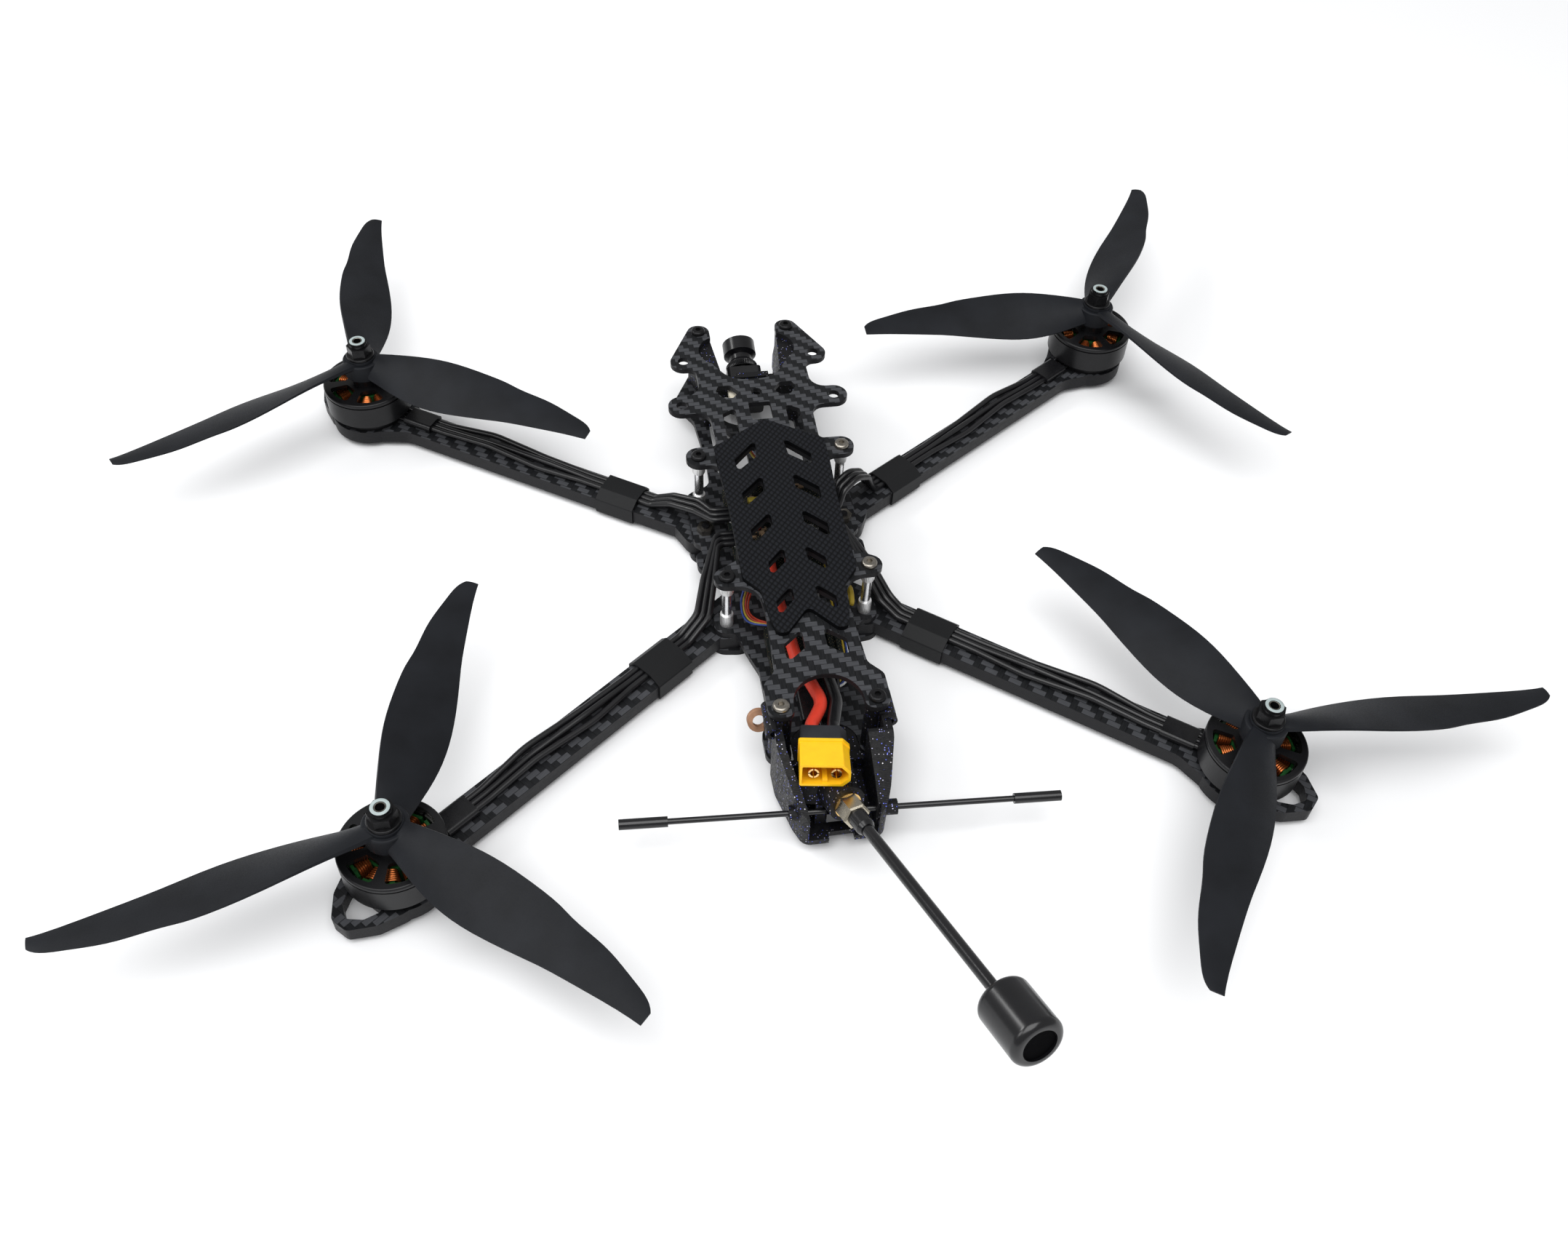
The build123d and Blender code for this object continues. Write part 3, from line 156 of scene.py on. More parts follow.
def mottled(name, color, rough, metal=0.0, vary=0.25, scale=0.25, grain=8.0, bump=0.15, depth=0.00004,
            shine=0.25, **more):
    """A plain finish broken up by slow colour drift, fine grain and wear in its gloss."""
    look = Look(name, color, rough, metal, Specular_IOR_Level=shine, **more)
    at = look.coords()
    slow = look.noise(at, scale, 3.0)
    fine = look.noise(at, grain, 3.0, 0.6)
    darker = tuple(c * (1.0 - vary) for c in color)
    lighter = tuple(min(1.0, c * (1.0 + vary)) for c in color)
    look.link(look.mix(look.ramp(slow, 0.3, 0.7), darker, lighter), "Base Color")
    look.link(look.ramp(fine, 0.25, 0.75, rough * 0.82, min(1.0, rough * 1.2)), "Roughness")
    look.bump(fine, bump, depth)
    return look


def carbon(name, turn=0.0, tow=2.1):
    """2x2 twill of tows, with the laminate's layers on cut edges."""
    look = Look(name, (0.02, 0.02, 0.022), 0.4)
    x, y, z = look.split(look.coords(turn))
    u, v = look.math("DIVIDE", x, tow), look.math("DIVIDE", y, tow)
    cell = look.math("ADD", look.math("FLOOR", u), look.math("FLOOR", v))
    warp = look.math("LESS_THAN", look.math("FLOORED_MODULO", cell, 4.0), 1.5)
    across_u = look.math("ABSOLUTE", look.math("SUBTRACT", look.math("FRACT", u), 0.5))
    across_v = look.math("ABSOLUTE", look.math("SUBTRACT", look.math("FRACT", v), 0.5))
    weft = look.math("SUBTRACT", 1.0, warp)
    across = look.math("ADD", look.math("MULTIPLY", warp, across_u), look.math("MULTIPLY", weft, across_v))
    crown = look.math("SUBTRACT", 1.0, look.math("MULTIPLY", look.math("MULTIPLY", across, across), 4.0))
    fine, coarse = 11.0, 0.7
    warp_at = look.join(look.math("MULTIPLY", u, fine), look.math("MULTIPLY", v, coarse), z)
    weft_at = look.join(look.math("MULTIPLY", u, coarse), look.math("MULTIPLY", v, fine), z)
    along_warp = look.noise(warp_at, 1.0, 2.0)
    along_weft = look.noise(weft_at, 1.0, 2.0)
    fibre = look.math(
        "ADD", look.math("MULTIPLY", warp, along_warp), look.math("MULTIPLY", weft, along_weft)
    )
    tone = look.mix(warp, (0.056, 0.058, 0.064), (0.0065, 0.007, 0.008))
    tone = look.mix(look.ramp(fibre, 0.35, 0.7, 0.0, 0.45), tone, (0.02, 0.021, 0.023))
    tone = look.mix(look.ramp(across, 0.42, 0.5), tone, (0.003, 0.003, 0.0035))
    normal = look.split(look.tree.nodes.new("ShaderNodeNewGeometry").outputs["Normal"])
    face_up = look.ramp(look.math("ABSOLUTE", normal[2]), 0.6, 0.8)
    ply = 0.5
    layer = look.math("SINE", look.math("MULTIPLY", z, 2 * pi / ply))
    grit = look.noise(look.coords(), 3.0, 3.0)
    edge = look.mix(look.ramp(layer, -1.0, 1.0), (0.006, 0.006, 0.007), (0.02, 0.02, 0.022))
    edge = look.mix(look.ramp(grit, 0.35, 0.75, 0.0, 0.5), edge, (0.011, 0.011, 0.012))
    look.link(look.mix(face_up, edge, tone), "Base Color")
    look.link(look.ramp(fibre, 0.3, 0.7, 0.34, 0.5), "Roughness")
    height = look.math("MULTIPLY", look.math("ADD", crown, look.math("MULTIPLY", fibre, 0.25)), face_up)
    look.bump(height, 0.35, 0.00008)
    look.set("Specular IOR Level", 0.14)
    return look.mat


def scale_rubber(name):
    """Grip rubber with a fine raised lozenge pattern, its grooves painted darker as shade."""
    look = Look(name, (0.012, 0.012, 0.014), 0.62)
    x, y, _z = look.split(look.coords())
    pitch, slant = 2.3, 0.8
    lean = look.math("MULTIPLY", y, slant)
    a = look.math("SINE", look.math("MULTIPLY", look.math("ADD", x, lean), pi / pitch))
    b = look.math("SINE", look.math("MULTIPLY", look.math("SUBTRACT", x, lean), pi / pitch))
    height = look.math("MULTIPLY", look.math("ABSOLUTE", a), look.math("ABSOLUTE", b))
    normal = look.split(look.tree.nodes.new("ShaderNodeNewGeometry").outputs["Normal"])
    face_up = look.ramp(look.math("ABSOLUTE", normal[2]), 0.6, 0.8)
    height = look.math("MULTIPLY", height, face_up)
    # the grooves between the raised lozenges are painted darker: painted shade in the recesses, with the
    # lighter tone on the lozenge tops
    tone = look.mix(look.ramp(height, 0.05, 0.7), (0.0022, 0.0024, 0.003), (0.0105, 0.0115, 0.0145))
    look.link(tone, "Base Color")
    look.set("Specular IOR Level", 0.1)
    look.bump(height, 0.9, 0.00035)
    return look.mat


def glitter_print(name):
    """Black printed plastic: layer lines and sparse coloured flakes."""
    look = Look(name, (0.008, 0.008, 0.010), 0.38)
    at = look.coords()
    z = look.split(at)[2]
    look.set("Specular IOR Level", 0.22)
    flakes = look.node("ShaderNodeTexVoronoi", Vector=at, Scale=1.5)
    hue = look.node("ShaderNodeTexVoronoi", Vector=at, Scale=1.5).outputs["Color"]
    red, green, blue = look.node("ShaderNodeSeparateColor", Color=hue).outputs
    rare = look.math("GREATER_THAN", red, 0.72)
    core = look.math("LESS_THAN", flakes.outputs["Distance"], 0.30)
    flake = look.math("MULTIPLY", rare, core)
    tint = look.mix(look.ramp(green, 0.4, 0.9), (0.10, 0.13, 0.60), (0.62, 0.60, 0.62))
    look.link(look.mix(flake, (0.004, 0.004, 0.005), tint), "Base Color")
    look.link(look.math("MULTIPLY", flake, 0.8), "Metallic")
    look.link(look.ramp(blue, 0.0, 1.0, 0.32, 0.6), "Roughness")
    layer_height = 0.28
    layers = look.math("SINE", look.math("MULTIPLY", z, 2 * pi / layer_height))
    rough = look.noise(at, 1.4, 3.0)
    look.bump(look.math("ADD", look.math("MULTIPLY", layers, 0.5), rough), 0.5, 0.00012)
    return look.mat


def woven(name, color):
    """Matt fabric tape with a fine over-and-under weave, painted darker in its low cells as shade."""
    look = Look(name, color, 0.5, Specular_IOR_Level=0.2)
    x, y, z = look.split(look.coords(45.0))
    thread = 0.55
    a = look.math("SINE", look.math("MULTIPLY", x, 2 * pi / thread))
    b = look.math("SINE", look.math("MULTIPLY", look.math("ADD", y, z), 2 * pi / thread))
    height = look.math("MULTIPLY", a, b)
    # the low cells of the weave get half the colour: painted shade in the hollows of the weave
    darker = tuple(c * 0.5 for c in color)
    look.link(look.mix(look.ramp(height, -1.0, 1.0), darker, color), "Base Color")
    look.bump(height, 0.25, 0.00006)
    return look.mat


def board_mask(name):
    """Circuit board: dark solder mask with tracks and pads."""
    look = Look(name, (0.008, 0.011, 0.010), 0.3)
    x, y, _z = look.split(look.coords())
    grid = look.math("MULTIPLY", look.math("SINE", look.math("MULTIPLY", x, 5.2)),
                     look.math("SINE", look.math("MULTIPLY", y, 4.4)))
    patch = look.noise(look.coords(), 0.9, 1.0)
    pads = look.math("MULTIPLY", look.math("GREATER_THAN", grid, 0.72), look.math("GREATER_THAN", patch, 0.5))
    look.link(look.mix(pads, (0.008, 0.011, 0.010), (0.52, 0.42, 0.22)), "Base Color")
    look.link(look.math("MULTIPLY", pads, 0.9), "Metallic")
    look.bump(look.math("ADD", pads, patch), 0.3, 0.00005)
    return look.mat


MAT = {
    "carbon": carbon("carbon_plate"),
    "pad_rubber": scale_rubber("pad_rubber"),
    "print_plastic": glitter_print("print_plastic"),
    "pcb": board_mask("circuit_board"),
    "band_fabric": woven("band_fabric", (0.0085, 0.009, 0.010)),
    "black_steel": mottled("black_steel", (0.012, 0.012, 0.013), 0.3, 0.5, scale=0.6).mat,
    "bright_steel": mottled("bright_steel", (0.27, 0.25, 0.22), 0.3, 1.0, vary=0.2, scale=0.8).mat,
    "standoff_metal": mottled("standoff_metal", (0.80, 0.80, 0.81), 0.26, 1.0, vary=0.1, scale=0.5).mat,
    "camera_plastic": mottled("camera_plastic", (0.008, 0.008, 0.009), 0.4).mat,
    "lens_glass": mottled("lens_black", (0.005, 0.005, 0.006), 0.3, Coat_Weight=0.15).mat,
    "soft_rubber": mottled("soft_rubber", (0.014, 0.014, 0.014), 0.55).mat,
    "silicone_black": mottled("silicone_black", (0.0055, 0.0055, 0.0065), 0.3,
                              scale=0.12, bump=0.08, shine=0.45).mat,
    "silicone_red": mottled("silicone_red", (0.72, 0.055, 0.03), 0.4, vary=0.12, scale=0.2, bump=0.1).mat,
    "shrink_black": mottled("shrink_black", (0.006, 0.006, 0.007), 0.3,
                            scale=0.4, grain=1.5, bump=0.3, shine=0.35).mat,
    "motor_metal": mottled("motor_metal", (0.008, 0.008, 0.009), 0.34, 0.3,
                           vary=0.12, grain=14.0, shine=0.35).mat,
    "motor_base_metal": mottled("motor_base_metal", (0.008, 0.008, 0.009), 0.42, 0.3, vary=0.15).mat,
    "core_steel": mottled("core_enamel", (0.008, 0.05, 0.012), 0.35, vary=0.35, scale=0.8, grain=5.0).mat,
    "prop_nylon": mottled("prop_nylon", (0.0085, 0.0095, 0.012), 0.52,
                          vary=0.25, scale=0.07, grain=2.6, bump=0.12, shine=0.16).mat,
    "plug_yellow": mottled("plug_yellow", (0.93, 0.52, 0.012), 0.36, vary=0.05, grain=5.0,
                           Subsurface_Weight=0.12, Subsurface_Scale=0.002).mat,
    "plug_grey": mottled("plug_grey", (0.022, 0.023, 0.027), 0.45, vary=0.15, grain=5.0).mat,
    "gold_contact": mottled("gold_contact", (0.86, 0.56, 0.22), 0.2, 1.0, vary=0.12).mat,
    "nickel": mottled("nickel", (0.44, 0.40, 0.32), 0.22, 1.0, vary=0.15).mat,
    "antenna_black": mottled("antenna_black", (0.004, 0.004, 0.005), 0.22,
                             scale=0.1, bump=0.05, shine=0.5).mat,
    "ferrite_tan": mottled("ferrite_tan", (0.36, 0.2, 0.12), 0.6, vary=0.3, grain=3.0, bump=0.3).mat,
}
for slot_name, slot_mat in MAT.items():
    slot_mat.name = "finish_" + slot_name
COPPER = mottled("winding_copper", (0.36, 0.105, 0.03), 0.32, 0.9, vary=0.25, scale=1.5).mat
MAGNET = mottled("magnet_nickel", (0.5, 0.49, 0.47), 0.25, 1.0, vary=0.2, scale=0.7).mat
# lighter copy of the standoff metal for the knurled collars: the lighter colour is painted light, while the
# higher roughness is the knurl's own
KNURL = mottled("standoff_knurl_lightened", (0.88, 0.88, 0.88), 0.48, 1.0, vary=0.08, scale=0.8).mat
# near-black matt fill with almost no gloss: painted shade for the hollow of the aerial cap end
SHADE_FILL_BLACK = mottled("painted_shade_black", (0.002, 0.002, 0.0025), 0.8, shine=0.03).mat
NYLON_RING = mottled("nut_nylon", (0.36, 0.42, 0.42), 0.4, vary=0.12, grain=6.0).mat
CHIP = mottled("chip_black", (0.012, 0.012, 0.013), 0.35).mat
TANTALUM = mottled("part_yellow", (0.55, 0.42, 0.06), 0.45).mat
CERAMIC = mottled("part_tan", (0.35, 0.24, 0.15), 0.4).mat
TIN = mottled("solder_tin", (0.6, 0.6, 0.6), 0.25, 1.0).mat
PLUG_WHITE = mottled("plug_white", (0.75, 0.70, 0.58), 0.45, vary=0.08).mat
GLASS = Look("lens_front", (0.01, 0.01, 0.03), 0.03, 0.0, Coat_Weight=1.0, Coat_Roughness=0.02).mat

for sub in frame["record"]["subparts"]:
    node = NODES[sub["node"]]
    node.data.materials.clear()
    node.data.materials.append(MAT[sub["material_slot"]])
for corner in CORNERS:
    arm = NODES["arm_" + corner]
    arm.data.materials.clear()
    arm.data.materials.append(carbon("carbon_arm_" + corner, -ARM_ANGLE[corner], 2.3))


# ---------------------------------------------------------------- mesh helpers
def piece(name, bm, material, body, spot=(0.0, 0.0, 0.0), smooth=True, angle=35.0):
    """Makes a mesh object from bm (in mm), puts it at spot (mm) and rides it on a body."""
    mesh = bpy.data.meshes.new(name)
    bmesh.ops.recalc_face_normals(bm, faces=bm.faces)
    bm.to_mesh(mesh)
    bm.free()
    mesh.transform(Matrix.Translation(Vector(spot) * MM) @ Matrix.Scale(MM, 4))
    for item in material if isinstance(material, (list, tuple)) else (material,):
        mesh.materials.append(item)
    if smooth:
        mesh.shade_smooth()
        mesh.set_sharp_from_angle(angle=radians(angle))
    made = bpy.data.objects.new(name, mesh)
    bpy.context.scene.collection.objects.link(made)
    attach(made, body)
    return made


def lathe(bm, profile, segments=48, matrix=Matrix.Identity(4), wobble=None, material=0):
    """Closed ring of revolution about Z: profile is a loop of (radius, height)."""
    rings = []
    for step in range(segments):
        turn = 2 * pi * step / segments
        ring = []
        for index, (r, z) in enumerate(profile):
            radius = r + (wobble(turn, z, index) if wobble else 0.0)
            ring.append(bm.verts.new(matrix @ Vector((radius * cos(turn), radius * sin(turn), z))))
        rings.append(ring)
    count = len(profile)
    for step in range(segments):
        here, there = rings[step], rings[(step + 1) % segments]
        for index in range(count):
            nxt = (index + 1) % count
            face = bm.faces.new((here[index], there[index], there[nxt], here[nxt]))
            face.material_index = material


def box(bm, centre, size, matrix=Matrix.Identity(4), material=0, bevel=0.0):
    made = bmesh.ops.create_cube(bm, size=1.0)
    place = matrix @ Matrix.Translation(centre) @ Matrix.Diagonal((*size, 1.0))
    bmesh.ops.transform(bm, matrix=place, verts=made["verts"])
    faces = {face for vert in made["verts"] for face in vert.link_faces}
    for face in faces:
        face.material_index = material
    if bevel:
        edges = list({edge for face in faces for edge in face.edges})
        bmesh.ops.bevel(bm, geom=edges, offset=bevel, segments=2, affect="EDGES", profile=0.7)


def tube(bm, points, radius, sides=8, closed=False, material=0):
    """Round tube along points (mm)."""
    count = len(points)
    rings = []
    side_dir = None
    for i, point in enumerate(points):
        before = points[i - 1] if (i or closed) else points[0]
        after = points[(i + 1) % count] if (i < count - 1 or closed) else points[-1]
        tangent = (Vector(after) - Vector(before)).normalized()
        if side_dir is None:
            side_dir = tangent.orthogonal().normalized()
        side_dir = (side_dir - tangent * side_dir.dot(tangent)).normalized()
        other = tangent.cross(side_dir)
        ring = []
        for k in range(sides):
            turn = 2 * pi * k / sides
            ring.append(bm.verts.new(Vector(point) + (side_dir * cos(turn) + other * sin(turn)) * radius))
        rings.append(ring)
    last = count if closed else count - 1
    for i in range(last):
        here, there = rings[i], rings[(i + 1) % count]
        offset = 0
        if closed and i == count - 1:
            offset = min(range(sides), key=lambda k: (here[0].co - there[k].co).length)
        for k in range(sides):
            face = bm.faces.new((
                here[k], here[(k + 1) % sides], there[(k + 1 + offset) % sides], there[(k + offset) % sides],
            ))
            face.material_index = material
    if not closed:
        for ring, flip in ((rings[0], True), (rings[-1], False)):
            face = bm.faces.new(list(reversed(ring)) if flip else ring)
            face.material_index = material


def solder(bm, centre, radii, segments):
    """Rounded solder joint, in the piece's second material."""
    made = bmesh.ops.create_uvsphere(bm, u_segments=segments, v_segments=8, radius=1.0)
    place = Matrix.Translation(centre) @ Matrix.Diagonal((*radii, 1.0))
    bmesh.ops.transform(bm, matrix=place, verts=made["verts"])
    for vert in made["verts"]:
        for face in vert.link_faces:
            face.material_index = 1


def smooth_line(points, steps=6):
    """Catmull-Rom points through the given ones."""
    pts = [Vector(p) for p in points]
    pts = [pts[0]] + pts + [pts[-1]]
    line = []
    for i in range(1, len(pts) - 2):
        p0, p1, p2, p3 = pts[i - 1:i + 3]
        for step in range(steps):
            t = step / steps
            line.append(0.5 * (2 * p1 + (p2 - p0) * t + (2 * p0 - 5 * p1 + 4 * p2 - p3) * t * t
                               + (3 * p1 - p0 - 3 * p2 + p3) * t ** 3))
    return line + [pts[-2]]


# ---------------------------------------------------------------- posts with knurled ends
POSTS = ((18.1, 110.4), (27.2, 35.7), (25.15, -26.6), (15.8, -85.0))
POST_Z0, POST_Z1 = 10.5, 32.5
POST_BORE_R, POST_WAIST_R, POST_R = 1.55, 1.75, 2.5
COLLAR_L, COLLAR_ROWS = 5.4, 14
KNURLS, KNURL_DEPTH, KNURL_LEAD = 13, 0.3, 4.6
bm = bmesh.new()
for px, py in POSTS:
    for side in (1, -1):
        place = Matrix.Translation((side * px, py, 0.0))
        body_profile = [
            (POST_BORE_R, POST_Z0 + 0.1), (POST_WAIST_R, POST_Z0 + 0.1),
            (POST_WAIST_R, POST_Z1 - 0.1), (POST_BORE_R, POST_Z1 - 0.1),
        ]
        lathe(bm, body_profile, 32, place)
        for low, high in ((POST_Z0, POST_Z0 + COLLAR_L), (POST_Z1 - COLLAR_L, POST_Z1)):
            profile = [(1.6, low), (2.3, low)]
            profile += [
                (POST_R, low + 0.3 + (high - low - 0.6) * k / COLLAR_ROWS) for k in range(COLLAR_ROWS + 1)
            ]
            profile += [(2.3, high), (1.6, high)]

            def knurl(turn, z, index):
                if not 2 <= index <= COLLAR_ROWS + 2:
                    return 0.0
                a, b = KNURLS * turn + z * KNURL_LEAD, KNURLS * turn - z * KNURL_LEAD
                return -KNURL_DEPTH * (0.5 + 0.5 * sin(a) * sin(b))

            lathe(bm, profile, 8 * KNURLS, place, knurl, material=1)
# the knurled collars take the lightened copy of the standoff metal, which is painted light
posts = piece(
    "standoffs_knurled", bm, [MAT["standoff_metal"], KNURL], "frame", angle=60.0
)
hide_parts("plate_standoffs")

# ---------------------------------------------------------------- motors: windings, magnets, nut rings
TEETH, TURNS, MAGNETS = 12, 6, 14
COIL_R, COIL_STEP, COIL_WIRE_R = 8.1, 0.72, 0.36
CORE_MID_Z, COIL_HALF_H, LOOP_POINTS = 15.8, 4.35, 20
MAGNET_SECTION = ((14.1, 12.0), (15.15, 12.0), (15.15, 19.6), (14.1, 19.6))
MAGNET_SHARE = 0.86
for corner in CORNERS:
    hub = (*HUB[corner], 0.0)
    bm = bmesh.new()
    for tooth in range(TEETH):
        turn = Matrix.Rotation(2 * pi * tooth / TEETH, 4, "Z")
        for wrap in range(TURNS):
            r = COIL_R + COIL_STEP * wrap
            half_w = 1.35 + 0.16 * wrap
            loop = []
            for k in range(LOOP_POINTS):
                a = 2 * pi * k / LOOP_POINTS
                ca, sa = cos(a), sin(a)
                y = half_w * (abs(ca) ** 0.5) * (1 if ca >= 0 else -1)
                z = CORE_MID_Z + COIL_HALF_H * (abs(sa) ** 0.5) * (1 if sa >= 0 else -1)
                loop.append(turn @ Vector((r, y, z)))
            tube(bm, loop, COIL_WIRE_R, 6, closed=True)
    piece("windings_" + corner, bm, COPPER, "frame", hub)

    bm = bmesh.new()
    for index in range(MAGNETS):
        start = 2 * pi * index / MAGNETS
        span = 2 * pi / MAGNETS * MAGNET_SHARE
        verts = []
        for k in range(5):
            a = start + span * k / 4
            verts.append([bm.verts.new((r * cos(a), r * sin(a), z)) for r, z in MAGNET_SECTION])
        for k in range(4):
            for m in range(4):
                n = (m + 1) % 4
                bm.faces.new((verts[k][m], verts[k + 1][m], verts[k + 1][n], verts[k][n]))
        bm.faces.new(verts[0][::-1])
        bm.faces.new(verts[-1])
    piece("magnets_" + corner, bm, MAGNET, "rotor_" + corner, hub)

    bm = bmesh.new()
    lathe(bm, [(1.85, 41.2), (1.85, 41.75), (2.05, 41.95), (2.75, 41.95), (3.0, 41.8), (3.06, 41.5)], 48)
    piece("nut_ring_" + corner, bm, NYLON_RING, "rotor_" + corner, hub)
    bm = bmesh.new()
    lathe(bm, [(1.5, 41.0), (1.5, 41.72), (1.56, 41.78), (1.72, 41.78), (1.76, 41.7), (1.76, 41.0)], 36)
    piece("shaft_end_" + corner, bm, MAT["bright_steel"], "rotor_" + corner, hub)

# ---------------------------------------------------------------- boards: parts, plugs and thin wires
rng = random.Random(7)
STACK_Y, BOARD_HOLE = 15.25, 15.25
FLIGHT_PARTS, SPEED_PARTS, TRANSMITTER_PARTS = 150, 120, 30
FLIGHT_TOP, SPEED_TOP, TRANSMITTER_TOP = 22.6, 16.0, 14.9
THIN_WIRE_R, SIDE_WIRE_R, THIN_WIRE_SIDES = 0.42, 0.34, 7
COIL_POINTS, POINTS_PER_TURN, SIGNAL_COIL_R, SIGNAL_WIRE_R = 60, 20, 3.3, 0.55
bm = bmesh.new()
for _ in range(FLIGHT_PARTS):
    x, y = rng.uniform(-16.5, 16.5), STACK_Y + rng.uniform(-16.5, 16.5)
    if abs(abs(x) - BOARD_HOLE) < 4 and abs(abs(y - STACK_Y) - BOARD_HOLE) < 4:
        continue
    if abs(x) < 4.8 and (abs(y - STACK_Y) < 4.6 or 11.5 < y - STACK_Y < 18.0):
        continue
    if abs(abs(x) - 14.0) < 3.0 and abs(y - STACK_Y) < 6.8:
        continue
    w, l, h = rng.choice(((1.0, 0.6, 0.4), (1.6, 0.9, 0.6), (2.0, 1.3, 0.8), (0.6, 1.0, 0.4)))
    box(bm, (x, y, FLIGHT_TOP + h / 2), (w, l, h), material=rng.choice((0, 1, 2, 2)))
for x, y, w, l, h, m in (
    (8.6, 19.0, 4.2, 4.2, 1.0, 0), (-9.0, 9.0, 5.0, 5.0, 1.0, 0), (-8.6, 21.4, 4.0, 2.6, 1.6, 3),
):
    box(bm, (x, y, FLIGHT_TOP + h / 2), (w, l, h), material=m, bevel=0.12)
piece("flight_board_parts", bm, [CHIP, TIN, CERAMIC, TANTALUM], "frame", smooth=False)

bm = bmesh.new()
for _ in range(SPEED_PARTS):
    x, y = rng.uniform(-17.0, 17.0), STACK_Y + rng.uniform(-20.0, 20.0)
    if abs(abs(x) - BOARD_HOLE) < 4.2 and abs(abs(y - STACK_Y) - BOARD_HOLE) < 4.2:
        continue
    if 7.4 < abs(x) < 12.4 or abs(x) < 5.2 and abs(y - STACK_Y) < 8.4 or abs(x) > 13.5:
        continue
    if y < 3.0:
        continue
    w, l, h = rng.choice(((1.0, 0.6, 0.4), (1.6, 0.9, 0.6), (2.0, 1.3, 0.8)))
    box(bm, (x, y, SPEED_TOP + h / 2), (w, l, h), material=rng.choice((0, 1, 2)))
for sx in (1, -1):
    for pad_y in (6.2, 8.8, 11.4, 19.2, 21.8, 24.4):
        solder(bm, (sx * 16.4, pad_y, SPEED_TOP), (1.9, 1.25, 1.3), 14)
for x in (-6.6, 6.6):
    solder(bm, (x, -2.2, SPEED_TOP), (2.9, 2.6, 2.4), 16)
piece("speed_board_parts", bm, [CHIP, TIN, CERAMIC], "frame", angle=50.0)

WIRE_LOOKS = [
    mottled("wire_yellow", (0.42, 0.30, 0.03), 0.4).mat, mottled("wire_red", (0.42, 0.04, 0.015), 0.4).mat,
    mottled("wire_white", (0.62, 0.62, 0.60), 0.4).mat, mottled("wire_blue", (0.03, 0.06, 0.25), 0.4).mat,
    mottled("wire_black", (0.012, 0.012, 0.012), 0.4).mat,
]
bm = bmesh.new()
for index in range(6):
    x = -2.5 + index
    run = [
        (x, 33.0, 24.4), (x, 37.0, 25.2), (x * 0.5 - 4.4, 49.0, 23.0), (x * 0.5 - 5.4, 61.0, 24.0),
        (x * 0.6 - 7.6, 71.0, 29.2), (x * 0.6 - 7.6, 74.0, 29.2),
    ]
    tube(bm, smooth_line(run), THIN_WIRE_R, THIN_WIRE_SIDES, material=index % 5)
for index in range(4):
    run = [
        (-9.5 + index * 0.5, 7.0, 23.6), (-13.0, 0.0, 24.6), (-15.0 + index * 0.9, -12.0, 20.5),
        (-19.6 + index * 0.9, -24.0 + index * 0.4, 18.6 - index * 1.2),
        (-18.2 + index * 1.1, -29.6 + index * 0.5, 14.0 - index * 0.3), (-10.5 + index, -34.0, 15.4),
    ]
    tube(bm, smooth_line(run), SIDE_WIRE_R, THIN_WIRE_SIDES, material=(3, 0, 1, 1)[index])
coil = []
for step in range(COIL_POINTS):
    a = 2 * pi * step / POINTS_PER_TURN
    y, z = -24.6 + SIGNAL_COIL_R * cos(a), 17.2 + SIGNAL_COIL_R * sin(a)
    coil.append((19.4 + 0.02 * step, y, z - 0.012 * step))
tube(bm, coil, SIGNAL_WIRE_R, THIN_WIRE_SIDES, material=0)
for index in range(4):
    run = [
        (11.5 - index, 4.0, 23.6), (13.2, -2.0, 24.4), (14.8 - index * 0.7, -20.0, 17.0),
        (15.2 - index * 0.5, -46.0, 13.0), (12.0 - index * 0.8, -60.0, 12.5), (4.0 - index, -63.0, 12.6),
    ]
    tube(bm, smooth_line(run), THIN_WIRE_R, THIN_WIRE_SIDES, material=(index + 2) % 5)
piece("stack_wires", bm, WIRE_LOOKS, "frame")

bm = bmesh.new()
box(bm, (-7.6, 76.2, 29.2), (5.4, 4.6, 2.8), bevel=0.4)
box(bm, (-7.6, 73.2, 29.2), (4.8, 2.0, 2.2), bevel=0.3)
piece("camera_plug", bm, PLUG_WHITE, "frame")

bm = bmesh.new()
for _ in range(TRANSMITTER_PARTS):
    x, y = rng.uniform(-11.0, 11.0), rng.uniform(-38.6, -35.2)
    h = rng.choice((0.5, 0.9))
    box(bm, (x, y, TRANSMITTER_TOP + h / 2), (1.4, 0.8, h), material=rng.choice((0, 1, 2)))
piece("transmitter_parts", bm, [CHIP, TIN, CERAMIC], "frame", smooth=False)

# ---------------------------------------------------------------- camera lens
PIVOT = Vector((0.0, 99.5, 12.6))
TILT = radians(19.0)
camera_frame = (
    Matrix.Translation(PIVOT) @ Matrix.Rotation(TILT, 4, "X") @ Matrix.Rotation(radians(-90.0), 4, "X")
)
FOCUS_RING = ((5.0, 8.2), (6.0, 8.2), (6.35, 8.6), (6.35, 10.6), (6.0, 11.0), (5.0, 11.0))
FRONT_GLASS = ((0.02, 20.6), (2.0, 20.45), (3.8, 20.0), (5.15, 19.25), (5.15, 19.0), (0.02, 19.0))
FOCUS_RIBS, FOCUS_RIB_DEPTH = 56, 0.18
bm = bmesh.new()


def lens_knurl(turn, z, index):
    return FOCUS_RIB_DEPTH * sin(FOCUS_RIBS * turn) if index in (2, 3) else 0.0


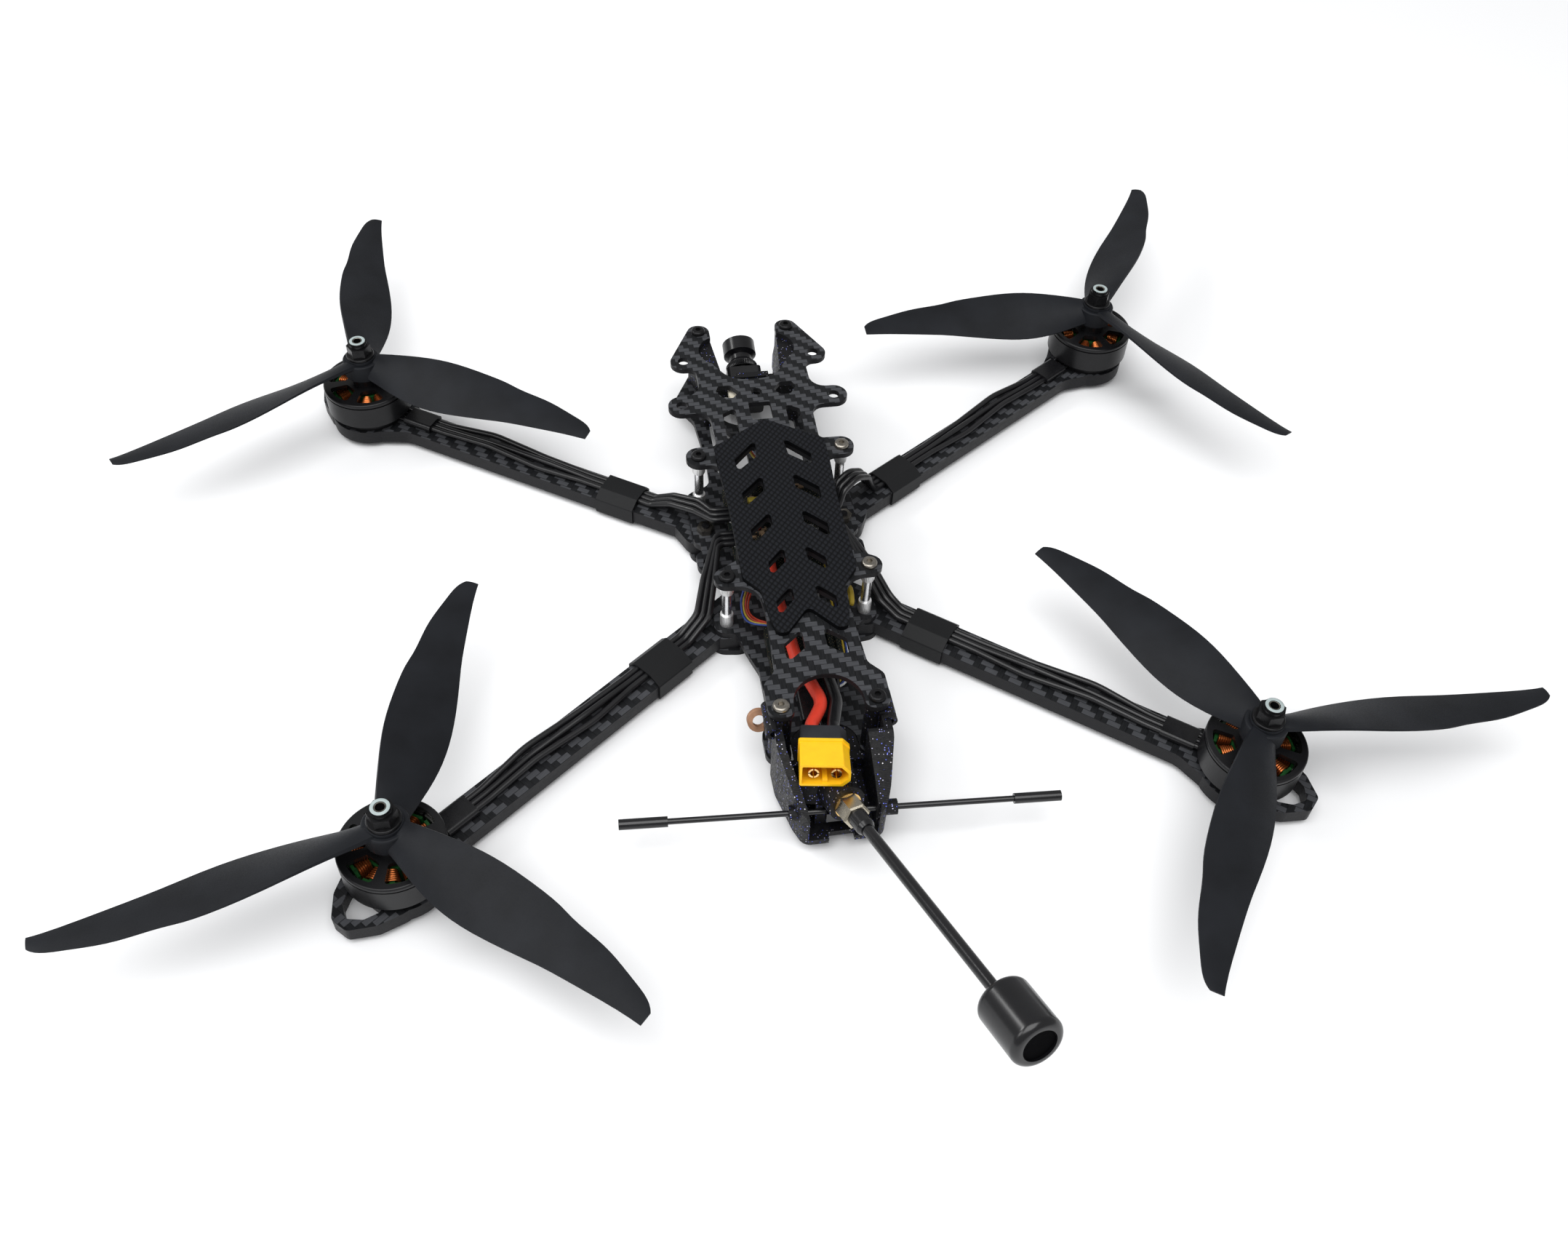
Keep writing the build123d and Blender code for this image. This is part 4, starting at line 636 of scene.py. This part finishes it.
lathe(bm, FOCUS_RING, 4 * FOCUS_RIBS, camera_frame, lens_knurl)
piece("lens_focus_ring", bm, MAT["lens_glass"], "camera")
bm = bmesh.new()
lathe(bm, FRONT_GLASS, 48, camera_frame)
piece("lens_front_glass", bm, GLASS, "camera")

# ---------------------------------------------------------------- tongue under the tail arch (not in the CAD)
bm = bmesh.new()
box(bm, (0.0, -84.0, 9.6), (22.4, 13.4, 1.4), bevel=0.5)
for x in (-7.5, 0.0, 7.5):
    box(bm, (x, -84.0, 10.5), (1.2, 12.6, 0.8), bevel=0.25)
piece("mount_tongue", bm, MAT["print_plastic"], "frame")

# ---------------------------------------------------------------- aerial thread, cap end with a painted-shade disc, and coaxial cable
SMA = Vector((0.3, -117.0, 23.2))
CAP_LOW, CAP_HIGH = 107.62, 107.70
sma_out = Vector((0.2604, -0.9202, 0.2924))
sma_frame = Matrix.Translation(SMA) @ sma_out.to_track_quat("Z", "Y").to_matrix().to_4x4()
bm = bmesh.new()
for index in range(5):
    z = -2.6 + index * 0.62
    lathe(bm, [(3.0, z), (3.28, z + 0.15), (3.28, z + 0.25), (3.0, z + 0.4)], 36, sma_frame)
lathe(bm, [(2.45, 7.2), (3.0, 7.2), (3.0, 7.9), (2.45, 7.9)], 36, sma_frame)
piece("aerial_thread", bm, MAT["gold_contact"], "frame")
# a thin near-black disc laid over the aerial cap end stands in for the shade in its hollow: painted shade
bm = bmesh.new()
lathe(bm, [(0.02, CAP_LOW), (5.15, CAP_LOW), (5.15, CAP_HIGH), (0.02, CAP_HIGH)], 48, sma_frame)
piece("aerial_cap_painted_shade", bm, SHADE_FILL_BLACK, "frame", smooth=False)
bm = bmesh.new()
back = SMA - sma_out * 10.2
run = [
    back, back - sma_out * 5.0, (-1.5, -96.0, 16.0), (0.5, -84.0, 15.5), (6.5, -70.0, 14.5), (9.0, -58.5, 13.0),
]
tube(bm, smooth_line(run), 0.9, 10)
piece("aerial_coax", bm, MAT["silicone_black"], "frame")

# ---------------------------------------------------------------- studio and camera
floor_z = min(0.0, cad_low[2])
bm = bmesh.new()
bmesh.ops.create_grid(bm, x_segments=2, y_segments=2, size=6.0)
mesh = bpy.data.meshes.new("floor")
bm.to_mesh(mesh)
bm.free()
floor = bpy.data.objects.new("floor", mesh)
floor.location.z = floor_z
bpy.context.scene.collection.objects.link(floor)
floor_look = Look("floor_paper", (0.90, 0.905, 0.915), 0.75)
floor_look.set("Specular IOR Level", 0.15)
floor.data.materials.append(floor_look.mat)

WORLD_STRENGTH = 0.46
world = bpy.data.worlds.new("studio")
bpy.context.scene.world = world
world.use_nodes = True
world.node_tree.nodes["Background"].inputs[0].default_value = (1.0, 1.0, 1.0, 1.0)
world.node_tree.nodes["Background"].inputs[1].default_value = WORLD_STRENGTH


def area_light(name, spot, target, size, power, color=(1.0, 1.0, 1.0)):
    data = bpy.data.lights.new(name, "AREA")
    data.shape = "RECTANGLE"
    data.size, data.size_y = size
    data.energy = power
    data.color = color
    made = bpy.data.objects.new(name, data)
    made.location = spot
    aim = Vector(target) - Vector(spot)
    made.rotation_euler = aim.to_track_quat("-Z", "Y").to_euler()
    bpy.context.scene.collection.objects.link(made)


area_light("softbox", (-0.2, -0.7, 2.1), (0.0, 0.0, 0.0), (2.2, 1.8), 44.0)
area_light("key", (-1.4, 0.8, 1.3), (0.0, 0.0, 0.0), (0.7, 0.4), 9.0)
area_light("fill", (-1.2, -0.3, 1.0), (0.0, 0.0, 0.0), (0.6, 0.6), 4.0)

CAM_SPOT = Vector((-73.8, -358.8, 394.0)) * MM
FORWARD = Vector((0.1351, 0.6435, -0.7535)).normalized()
RIGHT = Vector((0.9859, -0.1634, 0.0373)).normalized()
RIGHT = (RIGHT - FORWARD * RIGHT.dot(FORWARD)).normalized()
UP = RIGHT.cross(FORWARD)
cam_data = bpy.data.cameras.new("photo_camera")
cam_data.sensor_fit = "HORIZONTAL"
cam_data.sensor_width = 36.0
cam_data.lens = 32.62
cam_data.clip_start = 0.01
cam = bpy.data.objects.new("photo_camera", cam_data)
turn = Matrix((RIGHT, UP, -FORWARD)).transposed().to_4x4()
cam.matrix_world = Matrix.Translation(CAM_SPOT) @ turn
bpy.context.scene.collection.objects.link(cam)
bpy.context.scene.camera = cam
bpy.context.scene.view_settings.view_transform = "Standard"

bpy.context.view_layer.update()
